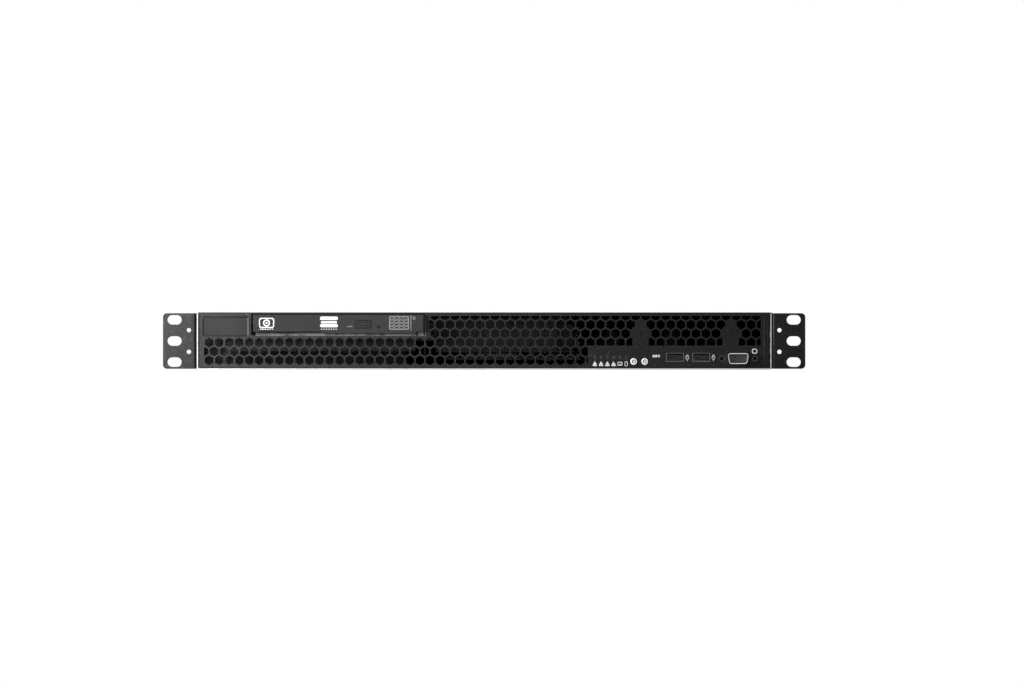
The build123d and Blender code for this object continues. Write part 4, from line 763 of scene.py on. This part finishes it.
flush_coat = powder_coat("flush_screw_coat", 0.0125, wear=0.05, shine=0.3)
line_coat = powder_coat("dark_line_coat", 0.002, wear=0.0, shine=0.6)
bracket_coat = powder_coat("bracket_dark_coat", 0.008, wear=0.05, shine=0.5, gloss=0.1)
ear_coat = ear_paint()
case_sheet = zinc_sheet("case_zinc_sheet")
cover_sheet = zinc_sheet("cover_zinc_sheet", 0.44, 210)
shield_sheet = bright_metal("shield_tin_sheet", (0.66, 0.67, 0.68), 0.28, (1, 9, 9))
screw_zinc = bright_metal("screw_zinc_plate", (0.74, 0.74, 0.75), 0.18)
dark_screw = bright_metal("dark_screw_plate", (0.045, 0.045, 0.048), 0.3)
nickel = bright_metal("socket_nickel_plate", (0.66, 0.66, 0.66), 0.2, (1, 4, 4))
gold = bright_metal("contact_gold_plate", (0.83, 0.62, 0.26))
fin_alloy = bright_metal("fin_aluminium", (0.76, 0.77, 0.78), 0.26, (1, 10, 1))
# The bezel's last number is its share of painted light towards the middle of the front
bezel_plastic = moulded("bezel_plastic", 0.0128, 1900, 0.36, 0.06, 0.5)
fan_plastic = moulded("fan_frame_plastic", 0.008, 1300, 0.42, 0.15)
rotor_plastic = moulded("fan_rotor_plastic", 0.010, 1500, 0.3, 0.2)
socket_plastic = moulded("socket_plastic", 0.02, 1800, 0.34)
ivory_plastic = moulded("latch_ivory_plastic", (0.62, 0.6, 0.52), 1600)
button_plastic = moulded("button_silver_plastic", (0.66, 0.67, 0.68), 2200, 0.26)
chip_resin = moulded("chip_resin", 0.012, 2600, 0.42)
white_ink = ink("white_ink", 0.42)
# A pale paint for the painted highlight over the lamps, made like ink
lamp_highlight_paint = ink("lamp_highlight_paint", 0.06)
dark_ink = ink("dark_ink", 0.006)

# The finish of each CAD node that shows
finishes = {
    "chassis_tray": case_sheet,
    # The rear panel's inner face is painted dull and dark as shade
    "rear_panel": zinc_sheet("rear_zinc_sheet", shade_before=0.3788),
    "front_panel": panel_paint(),
    "badge_plate": badge_paint(),
    "front_rail": cover_sheet,
    "rack_ear_left": ear_coat,
    "rack_ear_right": ear_coat,
    "top_cover": cover_sheet,
    "drive_bracket": bracket_coat,
    "drive_case": drive_shell(),
    "disc_tray": moulded("tray_plastic", 0.035),
    "tray_bezel": bezel_plastic,
    "tray_rails": bright_metal("drive_pressed_steel", (0.6, 0.61, 0.62), 0.3, (10, 1, 1)),
    "eject_button": bezel_plastic,
    "disc_hub": bright_metal("hub_turned_aluminium", streaks=(1, 1, 12)),
    "pickup_sled": pickup_paint(),
    # Each hard drive's last number is the height below which it is painted shade
    "hard_drive_1": disk_shell("first_disk_shell", 0.0056, -0.0090),
    "hard_drive_2": disk_shell("second_disk_shell", 0.0186, -0.0060),
    "hard_drive_cradle": bracket_coat,
    "fan_bracket": bracket_coat,
    "fan_frames": fan_plastic,
    "main_board": laminate("board_laminate"),
    "board_standoffs": dark_screw,
    "processor_socket": socket_plastic,
    "processor": bright_metal("processor_nickel_lid", (0.7, 0.69, 0.68), 0.26),
    "processor_heatsink": heatsink_alloy(),
    "air_duct": moulded("duct_sheet_plastic", 0.022, 900, 0.3),
    "memory_sockets": memory_holder(),
    "memory_modules": memory_card(),
    "chipset_heatsink": bright_metal("chipset_anodised", (0.42, 0.45, 0.5), 0.34, (1, 8, 1)),
    "board_capacitors": can_sleeve(),
    "board_headers": board_header(),
    "riser_card": riser_paint(),
    "lan_sockets": network_shell(),
    "rear_usb_socket": usb_shell(
        "rear_plug_socket_shell", -0.0072, -0.0056, (125.0,), 0.3658, 0.0134, 0.66
    ),
    "rear_d_sockets": rear_d_shell(),
    "io_shield": shield_sheet,
    "slot_cover": shield_sheet,
    "supply_case": supply_sheet(),
    "supply_fan_frame": fan_plastic,
    "power_inlet": inlet_paint(),
    "front_io_board": laminate("front_card_laminate", (0.0045, 0.0055, 0.005), 0.05),
    "io_spacers": dark_screw,
    "front_usb_sockets": usb_shell(
        "front_plug_socket_shell", -0.0123, -0.0093, PLUG_X, -0.00229, 0.0142, 0.15, 0.55
    ),
    "front_vga_socket": display_shell(),
    "jack_nuts": dark_screw,
    "status_lights": moulded("lamp_plastic", (0.02, 0.021, 0.02), 1800, 0.2),
    "power_button": button_plastic,
    "locate_button": button_plastic,
}
finishes |= {f"memory_latch_{n}": ivory_plastic for n in range(1, 5)}
for name, finish in finishes.items():
    nodes[name].data.materials.clear()
    nodes[name].data.materials.append(finish)


# Fans


def rotor(name, node, x, z, tip, hub, chord):
    """A moulded rotor: a turned hub with a rolled front edge and a bore, and five swept
    blades."""
    low, high = corners(node)
    at = (x, (low[1] + high[1]) / 2, z)
    half = (high[1] - low[1]) / 2
    bore = 1.56
    dome = [
        (0.01, half - 0.5), (hub * 0.55, half - 0.45), (hub * 0.86, half - 0.55),
        (hub * 0.96, half - 1.0),
    ]
    sides = [(hub, half - 2.0), (hub, -half + 0.4), (hub - 0.4, -half), (bore, -half)]
    floor = [(bore, half - 2.4), (0.01, half - 2.4)]
    skins = [turned((dome + sides + floor)[::-1], at, "front", 40)]
    for n in range(5):
        turn = n * TURN / 5 - 0.12
        skins.append(blade(hub - 0.8, tip, chord, 2 * half - 3.2, turn, at))
    piece = build(name, skins, rotor_plastic, node)
    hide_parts(node)


for n, x in enumerate(FAN_X, 1):
    rotor(f"fan_rotor_shape_{n}", f"fan_rotor_{n}", x, FAN_Z, 18.2, 8.5, 23.0)
supply = middle("supply_fan_frame")
rotor("supply_rotor_shape", "supply_fan_rotor", supply[0], supply[2], 16.1, 8.5, 18.0)

skins = [strip(circle(18.15, 60), 0.96, (x, 177.5, FAN_Z), thick=0.9) for x in FAN_X]
build("fan_shroud_rings", skins, fan_plastic, "chassis")

# Screws

cross_head = [
    (3.5, -0.02), (3.5, 0.7), (3.25, 1.25), (2.7, 1.65), (2.0, 1.88),
    (1.0, 1.94, 1.0), (0.7, 0.9, 1.0), (0.2, 0.6, 1.0),
]


def pan_head(at, side, size=1.0, height=1.0):
    """A pan-head screw with a cross recess, scaled from the head of an M4 screw."""
    profile = [(radius * size, rise * height, *share) for radius, rise, *share in cross_head]
    return turned(profile, at, side, 40, cross=1.9)


shank = [(0.3, -4.1), (1.7, -4.1), (1.95, -3.6), (1.95, 0.3), (0.3, 0.3)]
ear_side = corners("chassis_tray")[1][0] + 2.0
skins = []
for side, x in (("left", -ear_side), ("right", ear_side)):
    for y, z in ((12.7, 12.0), (12.7, -12.0), (30.4, 0.0)):
        skins += [pan_head((x, y, z), side), turned(shank, (x, y, z), side, 20)]
build("ear_screw_heads", skins, screw_zinc, "chassis")

low, high = corners("cover_thumbscrews")
thumb_radius, thumb_height, thumb_z = 4.5, 4.0, 14.5
thumb_head = [
    (0.3, -4.0), (1.72, -4.0), (1.72, 0.02), (4.2, 0.0), (thumb_radius, 0.35),
    (thumb_radius, 3.2), (4.15, 3.7), (2.6, thumb_height), (1.3, 3.98, 1.0), (0.9, 2.7, 1.0),
    (0.3, 2.5, 1.0),
]
skins = []
for x in (low[0] + thumb_radius, high[0] - thumb_radius):
    at = (x, high[1] - thumb_height, thumb_z)
    skins.append(turned(thumb_head, at, "back", 120, ripple=0.022, teeth=30, cross=1.7))
thumb_heads = build("thumbscrew_heads", skins, screw_zinc, "cover")
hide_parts("cover_thumbscrews")

skins = [pan_head((x, FACE, 5.6), "front", 0.42, 0.08) for x in (117.5, 185.2)]
build("panel_screw_heads", skins, flush_coat, "chassis")

# Marks on the panel: a painted highlight as a dash over each lamp, along the top edge of its
# light pipe, a sign under it, and signs by the sockets

# Painted highlight: a pale dash along the top edge of each lamp's light pipe
skins = [stroke((-1.0, 0), (1.0, 0), 0.35, (x, FACE, -11.4)) for x in LAMP_X]
build("lamp_highlight_dashes", skins, lamp_highlight_paint, "chassis")

sign_z = -17.1
triangle = polygon([(-1.4, -1.35), (1.4, -1.35), (0, 1.3)])
skins = []
for x in LAMP_X[:4]:
    skins += [strip(triangle, 0.8, (x, FACE, sign_z)), dab(0.9, 0.9, 0.4, (x, FACE, -17.5))]
screen, can = ((x, FACE, sign_z) for x in LAMP_X[4:])
skins += [
    strip(rounded(1.6, 1.2, 0.5), 0.45, screen),
    stroke((-1.0, -0.4), (1.0, -0.4), 0.45, screen),
    strip(rounded(0.95, 1.6, 0.5), 0.38, can),
    dab(0.6, 0.6, 0.25, (can[0], FACE, -16.4)),
]
skins += [dab(1.6, 1.8, 0.3, (x, FACE, -11.3)) for x in (127.3, 129.2, 131.2)]
for x in (152.6, 172.3):
    at = (x, FACE, -12.5)
    skins.append(strip(rounded(0.95, 1.0, 0.3), 0.4, at))
    skins += [stroke((side, 1.1), (side, 2.4), 0.38, at) for side in (-0.45, 0.45)]
    skins.append(stroke((0, -1.0), (0, -2.6), 0.4, at))
skins.append(strip(rounded(1.65, 1.55, 1.1, 4), 0.75, (203.2, FACE, -7.7)))
build("panel_marks", skins, ink("panel_mark_ink", 0.56), "chassis")

# Marks on the drive's bezel: a ringed sign, three bars, a field of keys and a lamp

sign = (-163.5, BEZEL_FACE, 13.6)
skins = [
    strip(rounded(5.3, 3.4, 1.3, 6), 0.7, sign),
    strip(circle(2.2), 0.8, sign),
    dab(1.5, 1.5, 0.74, sign, 5),
]
skins += [dab(1.1, 0.5, 0.1, (-168.0 + n * 1.8, BEZEL_FACE, 8.9)) for n in range(6)]
for tall, wide, z in ((2.6, 13.3, 17.0), (1.5, 12.0, 14.0), (2.2, 13.3, 11.5)):
    skins.append(dab(wide, tall, tall * 0.45, (-116.6, BEZEL_FACE, z), 5))
skins += [dab(1.0, 0.5, 0.1, (-122.2 + n * 1.85, BEZEL_FACE, 8.9)) for n in range(7)]
build("bezel_marks", skins, white_ink, "tray")

skins = []
for row in range(4):
    for column in range(4):
        at = (-69.4 + column * 3.6, BEZEL_FACE, 10.0 + row * 2.4)
        skins.append(strip(rounded(1.45, 0.85, 0.3), 0.34, at))
skins.append(strip(rounded(7.2, 5.0, 0.8), 0.4, (-64.0, BEZEL_FACE, 13.6)))
skins += [dab(0.7, 0.9, 0.1, (-55.0, BEZEL_FACE, 8.6 + n * 1.25)) for n in range(9)]
skins.append(strip(circle(1.1, 4), 0.5, (-52.6, BEZEL_FACE, 17.2)))
build("bezel_faint_marks", skins, ink("bezel_grey_ink", 0.14), "tray")

skins = [dab(4.1, 0.8, 0.3, (-101.0, BEZEL_FACE, 10.9))]
build("busy_mark", skins, ink("busy_mark_ink", 0.07), "tray")

# Marks on the buttons, the line round the eject button, and a dark dot painted as the shade in
# the bezel's pinhole

at = front_of("eject_button")
skins = [strip(rounded(3.6, 1.1, 0.2), 0.45, at)]
build("eject_mark", skins, line_coat, "eject_button")

low, high = corners("eject_button")
half = (high - low) / 2 + 0.45
line_thick = 0.02
skins = [
    strip(rounded(half[0], half[2], 0.9), 0.36, (at[0], BEZEL_FACE, at[2]), line_thick),
    # Painted shade: a dark dot over the bezel's pinhole
    dab(1.5, 1.5, 0.74, (-79.2, BEZEL_FACE, 10.7), 5, line_thick),
]
build("bezel_dark_lines", skins, line_coat, "tray")

at = front_of("power_button")
arc = circle(1.15, 24, 0.33, 0.84)
skins = [strip(arc, 0.55, at, closed=False), stroke((0, 0.4), (0, 1.6), 0.5, at)]
build("power_mark", skins, dark_ink, "power_button")

at = front_of("locate_button")
skins = [strip(circle(1.25, 24), 0.5, at), dab(0.8, 0.8, 0.38, at, 4)]
build("locate_mark", skins, dark_ink, "locate_button")

# Pressed edges of the panel


def bead(half_wide, rise, low, high, x, steps=8):
    """An upright bead pressed in the panel: half an ellipse (w cos a, h sin a) carried from
    one height to another, its ends drawn in over the last millimetre by
    sqrt(1 - (1 - t)^2)."""
    angle = np.linspace(0, TURN / 2, steps)
    section = np.stack([half_wide * np.cos(angle), rise * np.sin(angle)], -1)
    section = np.concatenate([section, [[0.0, FOOT]]])
    t = np.linspace(0, 1, 6)
    share = np.sqrt(np.clip(1 - (1 - t) ** 2, 0.01, 1))
    share = np.concatenate([share, share[::-1]])[:, None]
    heights = np.concatenate([low + t, high - t[::-1]])[:, None]
    wide, out = section[:, 0] * share, section[:, 1] * share
    local = np.stack([wide, np.broadcast_to(heights, wide.shape), out], -1)
    return skin(place(local, (x, FACE, 0.0), "front"))


stud = [(0.6, FOOT), (0.55, 0.12), (0.3, 0.2), (0.05, 0.22)]
skins = [
    bead(0.85, 0.6, 3.4, 17.6, -177.05),
    bead(0.35, 0.3, -18.0, 18.0, 210.6),
    turned(stud, (210.7, FACE, 3.4), "front", 16),
]
# The pressings' coat is a lighter copy of the panel's, a painted highlight on the beads and
# the stud
build("panel_pressings", skins, powder_coat("pressing_highlight_coat", 0.032), "chassis")

# A lug at the shelf's right end, in a much lighter copy of the panel's coat as a painted
# highlight
lug = block(4.2, 2.5, 0.4, [(0.0, 0.0), (0.0, 1.5), (0.3, 1.85)], (-47.5, 0.0, 5.5), "front")
build("shelf_end_lug", [lug], powder_coat("lug_highlight_coat", 0.095), "chassis")

# Black discs painted as the shade in the jack nuts' bores, and contacts in the sockets

jack_face = corners("jack_nuts")[0][1]
bottom = [(0.0, -0.9), (0.0, -0.7), (0.05, -0.65)]
# Painted shade: a black disc inside each jack nut's bore
skins = [
    block(2.5, 2.5, 1.24, bottom, (x, jack_face, -13.2), "front", 6)
    for x in (DISPLAY_X - JACK_ASIDE, DISPLAY_X + JACK_ASIDE)
]
build("jack_bore_shade_discs", skins, line_coat, "chassis")

contact = [(0, -9.5), (0, 0.6), (0.04, 0.7)]
skins = []
for x in PLUG_X:
    for n in range(4):
        at = (x - 3.4 + n * 2.27, FACE + 1.5, -11.42)
        skins.append(block(1.1, 0.16, 0.05, contact, at, "front", 2))
build("front_socket_contacts", skins, dark_screw, "chassis")

contact = [(0, 0.0), (0, 8.2), (0.05, 8.4)]
skins = []
for x in NETWORK_X:
    for n in range(8):
        at = (x - 3.57 + n * 1.02, 368.9, -3.9)
        skins.append(block(0.4, 0.3, 0.1, contact, at, "back", 2))
build("network_contacts", skins, gold, "chassis")

# Parts on the main board


def chip(x, y, wide, long, tall):
    """A chip's body: straight foot, drawn in a little at half height and at its top edge."""
    profile = [
        (0.15, 0.0), (0.0, tall * 0.45), (0.05, tall * 0.55), (0.2, tall * 0.95), (0.35, tall)
    ]
    return block(wide, long, 0.4, profile, (x, y, BOARD_TOP), "up", 2)


chips = (
    (29.0, 262.0, 9.0, 9.0, 1.4), (120.0, 322.0, 17.0, 17.0, 1.8),
    (152.0, 318.0, 12.0, 12.0, 1.5), (82.0, 330.0, 10.0, 14.0, 1.6),
    (20.0, 262.0, 5.0, 9.0, 1.5), (0.0, 285.0, 14.0, 14.0, 1.6),
    (198.0, 348.0, 9.0, 7.0, 1.3), (100.0, 350.0, 8.0, 5.0, 1.4),
    (28.0, 352.0, 10.0, 6.0, 1.4), (-20.0, 200.0, 6.0, 5.0, 1.2),
    (-20.0, 240.0, 5.0, 8.0, 1.2), (170.0, 338.0, 6.0, 8.0, 1.3),
)
skins = [chip(*row) for row in chips]
skins += [chip(87.5, y, 5.0, 6.0, 1.0) for y in PHASE_Y]
build("board_chips", skins, chip_resin, "chassis")

# The square chips have legs along all four sides
leg = [(0.0, 0.0), (0.05, 0.35)]
skins = []
for x, y, wide in [row[:3] for row in chips if row[2] == row[3]]:
    for out in (-wide / 2 - 0.5, wide / 2 + 0.5):
        for n in np.arange(-wide / 2 + 1.2, wide / 2 - 1.0, 0.9):
            skins.append(block(0.4, 1.4, 0.1, leg, (x + n, y + out, BOARD_TOP), "up", 1))
            skins.append(block(1.4, 0.4, 0.1, leg, (x + out, y + n, BOARD_TOP), "up", 1))
build("chip_legs", skins, nickel, "chassis")

choke = [(0.2, 0.0), (0.0, 0.5), (0.0, 4.4), (0.7, 5.2), (1.6, 5.5)]
ferrite = moulded("choke_ferrite", (0.07, 0.072, 0.078), 1400, 0.5)
skins = [block(8.4, 8.4, 1.4, choke, (78.0, y, BOARD_TOP), "up") for y in PHASE_Y]
build("board_chokes", skins, ferrite, "chassis")

cell_at = (200.0, 322.0, BOARD_TOP)
cup = [
    (4.0, 0.0), (10.6, 0.0), (10.8, 0.4), (10.8, 2.2), (10.3, 2.6), (8.0, 2.6), (1.0, 2.6)
]
coin = [
    (1.0, 2.5), (9.8, 2.5), (10.0, 2.8), (10.0, 4.2), (9.4, 4.6), (8.6, 4.62), (0.5, 4.62)
]
skins = [turned(cup, cell_at, "up", 48)]
build("coin_cell_holder", skins, socket_plastic, "chassis")
skins = [turned(coin, cell_at, "up", 48)]
build("coin_cell", skins, screw_zinc, "chassis")

# Small parts lie scattered over the board's free fields (left, right, near, far), on a
# grid of 2.4 mm and about one to every 22 square millimetres
rng = np.random.default_rng(7)
fields = (
    (24.5, 33.0, 192.0, 340.0), (71.0, 74.0, 195.0, 340.0), (98.0, 180.0, 307.5, 309.5),
    (98.0, 180.0, 340.0, 356.0), (188.0, 211.0, 296.0, 308.0), (-27.0, -26.0, 192.0, 370.0),
    (-12.0, 24.0, 250.0, 274.0), (189.0, 196.0, 200.0, 292.0),
)
part, grid = [(0, 0), (0, 0.4), (0.06, 0.5)], 2.4
skins = []
for left, right, near, far in fields:
    count = int((right - left + 4) * (far - near) / 22)
    spots = np.column_stack([rng.uniform(left, right, count), rng.uniform(near, far, count)])
    for x, y in np.round(spots / grid) * grid:
        wide, long = (1.0, 0.6) if rng.random() < 0.5 else (0.6, 1.0)
        skins.append(block(wide, long, 0.1, part, (x, y, BOARD_TOP), "up", 1))
ceramic = moulded("ceramic_parts", (0.3, 0.24, 0.17), 2000)
build("board_small_parts", skins, ceramic, "chassis")

# Crossed vents and rolled rims in the capacitors' tops
low, high = corners("board_capacitors")
vent = 2.4
skins = []
for n in range(4):
    x, y = low[0] + 4.0 + 21.0 * n, (low[1] + high[1]) / 2
    for end in ((vent, 0), (0, vent)):
        start = (-end[0], -end[1])
        skins.append(stroke(start, end, 0.35, (x, y, high[2]), 0.05, "up"))
    skins.append(wire(circle(3.75, 28), 0.3, (x, y, high[2] - 0.1), "up", count=6))
build("capacitor_vents", skins, fin_alloy, "chassis")

# Rim of the rear shield
low, high = corners("io_shield")
half, spot = (high - low) / 2, (low + high) / 2
skins = [strip(rounded(half[0], half[2], 0.6, 2), 1.8, (spot[0], 378.0, spot[2]), 0.35)]
build("shield_rim", skins, shield_sheet, "chassis")

# Lids of the hard drives: six screws and the cap of the spindle
cap = [(14.0, 0.0), (14.0, 0.3), (13.4, 0.55), (3.6, 0.55), (3.2, 0.2), (0.5, 0.2)]
skins = []
for node in ("hard_drive_1", "hard_drive_2"):
    low, high = corners(node)
    for x in (low[0] + 7.0, high[0] - 7.0):
        for y in (low[1] + 8.0, (low[1] + high[1]) / 2, high[1] - 19.0):
            skins.append(pan_head((x, y, high[2] - 0.02), "up", 0.55, 0.18))
    at = ((low[0] + high[0]) / 2, low[1] + 50.8, high[2] - 0.62)
    skins.append(turned(cap, at, "up", 64))
build("hard_drive_screws", skins, screw_zinc, "chassis")

# Wire guard over the supply's fan: four rings, and an arm, a loop and a screw at each corner
x, y, z = supply[0], REAR_FACE + 0.7, supply[2]
skins = [wire(circle(radius, 48), 0.6, (x, y, z), "back") for radius in (5.5, 9.0, 12.5, 16.0)]
screws = []
for angle in np.array([1, 3, 5, 7]) * TURN / 8:
    way = np.array([np.cos(angle), np.sin(angle)])
    arm = np.outer(np.linspace(4.8, 18.6, 10), way)
    skins.append(wire(arm, 0.6, (x, y + 0.6, z), "back", closed=False))
    spot = way * 19.8
    skins.append(wire(circle(1.5, 20), 0.55, (x - spot[0], y, z + spot[1]), "back"))
    screws.append(pan_head((x - spot[0], REAR_FACE, z + spot[1]), "back", 0.72, 0.75))
build("supply_fan_guard", skins, screw_zinc, "chassis")
build("supply_guard_screws", screws, dark_screw, "chassis")

# The optical drive's spindle: three grips and a cap
hub = middle("disc_hub")
top = corners("disc_hub")[1][2]
grip = [(0.1, -0.8), (0.55, -0.6), (0.8, 0.0), (0.55, 0.6), (0.1, 0.8)]
cap = [(0.2, 0.0), (3.4, 0.0), (3.4, 0.25), (2.9, 0.4), (0.2, 0.4)]
skins = []
for angle in np.arange(3) * TURN / 3 + 0.4:
    at = (hub[0] + 6.9 * np.cos(angle), hub[1] + 6.9 * np.sin(angle), top - 1.4)
    skins.append(turned(grip, at, "up", 16))
skins.append(turned(cap, (hub[0], hub[1], top - 0.02), "up"))
build("hub_grips", skins, screw_zinc, "disc_hub")

# Lens on the pickup sled, and the floor of the window in which the sled runs
lens = [(0.2, -0.1), (2.1, -0.1), (2.0, 0.12), (1.4, 0.42), (0.7, 0.58), (0.1, 0.62)]
lens_at = (*(SPINDLE - 22.5 * DIAGONAL), corners("pickup_sled")[1][2])
glass = moulded("lens_glass", (0.05, 0.05, 0.14), 2600, 0.05, 0.7)
build("pickup_lens", [turned(lens, lens_at, "up")], glass, "pickup_sled")

window = rounded(27.0, 15.5, 0.3) @ np.array([[1, 1], [-1, 1]]) * DIAGONAL
rows = [np.column_stack([window, np.full(len(window), height)]) for height in (8.22, 8.4)]
window_at = (*(SPINDLE - 39.0 * DIAGONAL), 0.0)
skins = [skin(place(np.array(rows), window_at, "up"))]
build("tray_window_floor", skins, dark_screw, "tray")

# Floor, light and camera


def backdrop_white(tree):
    """White for what the camera, a reflection or glass sees: the larger of Light Path's
    Is Camera Ray, Is Glossy Ray and Is Transmission Ray."""
    path = tree.nodes.new("ShaderNodeLightPath")
    seen = path.outputs["Is Camera Ray"]
    for output in ("Is Glossy Ray", "Is Transmission Ray"):
        either = tree.nodes.new("ShaderNodeMath")
        either.operation = "MAXIMUM"
        tree.links.new(seen, either.inputs[0])
        tree.links.new(path.outputs[output], either.inputs[1])
        seen = either.outputs[0]
    return seen


world = bpy.data.worlds.new("studio")
bpy.context.scene.world = world
world.use_nodes = True
tree = world.node_tree
soft = tree.nodes["Background"]
soft.inputs["Color"].default_value = WHITE
soft.inputs["Strength"].default_value = 0.2
white = tree.nodes.new("ShaderNodeBackground")
white.inputs["Color"].default_value = WHITE
white.inputs["Strength"].default_value = 1.0
either = tree.nodes.new("ShaderNodeMixShader")
tree.links.new(backdrop_white(tree), either.inputs[0])
tree.links.new(soft.outputs[0], either.inputs[1])
tree.links.new(white.outputs[0], either.inputs[2])
tree.links.new(either.outputs[0], tree.nodes["World Output"].inputs[0])

reach = 4.0
low_z = cad_low[2] - 0.00002
ends = ((-reach, -reach), (reach, -reach), (reach, reach), (-reach, reach))
mesh = bpy.data.meshes.new("floor")
mesh.from_pydata([(x, y, low_z) for x, y in ends], [], [(0, 1, 2, 3)])
floor = bpy.data.objects.new("floor", mesh)
bpy.context.scene.collection.objects.link(floor)
floor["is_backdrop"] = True
p = Paint("floor_white")
p.done(p.blend(p.noise(3.0), 0.86, 0.88), 0.7, p.noise(40), 0.0001, strength=0.05)
glow = p.node("ShaderNodeEmission", {}, {"Color": WHITE})
share = Value(p, backdrop_white(p.tree)) * 0.7
plain = Value(p, p.shader.outputs[0])
mixed = p.node("ShaderNodeMixShader", {}, {0: share, 1: plain, 2: glow})
p.feed(p.tree.nodes["Material Output"].inputs[0], mixed)
mesh.materials.append(p.material)


def lamp(name, at, aim, size, power):
    """A square soft lamp that looks from one point to another."""
    data = bpy.data.lights.new(name, "AREA")
    data.size = size
    data.energy = power
    made = bpy.data.objects.new(name, data)
    made.location = at
    way = type(made.location)(aim) - made.location
    made.rotation_euler = way.to_track_quat("-Z", "Y").to_euler()
    bpy.context.scene.collection.objects.link(made)


lamp("key_left", (-0.42, -0.20, 0.11), (-0.05, 0.0, 0.0), 0.2, 7.0)
lamp("top_soft", (-0.3, -0.9, 1.0), (0.0, 0.1, 0.0), 0.8, 5.0)
lamp("back_soft", (0.3, 1.6, 0.8), (0.0, 0.3, 0.0), 1.0, 8.0)

# The photograph's frame: its width in metres, and the point that its middle looks at
photo_width = 0.7693
photo_middle = (0.02092, -0.00038)
camera_data = bpy.data.cameras.new("camera")
camera_data.type = "ORTHO"
camera_data.ortho_scale = photo_width
camera = bpy.data.objects.new("camera", camera_data)
camera.location = (photo_middle[0], -2.5, photo_middle[1])
camera.rotation_euler = (np.pi / 2, 0, 0)
bpy.context.scene.collection.objects.link(camera)
bpy.context.scene.camera = camera
bpy.context.scene.view_settings.view_transform = "Standard"

low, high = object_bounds()
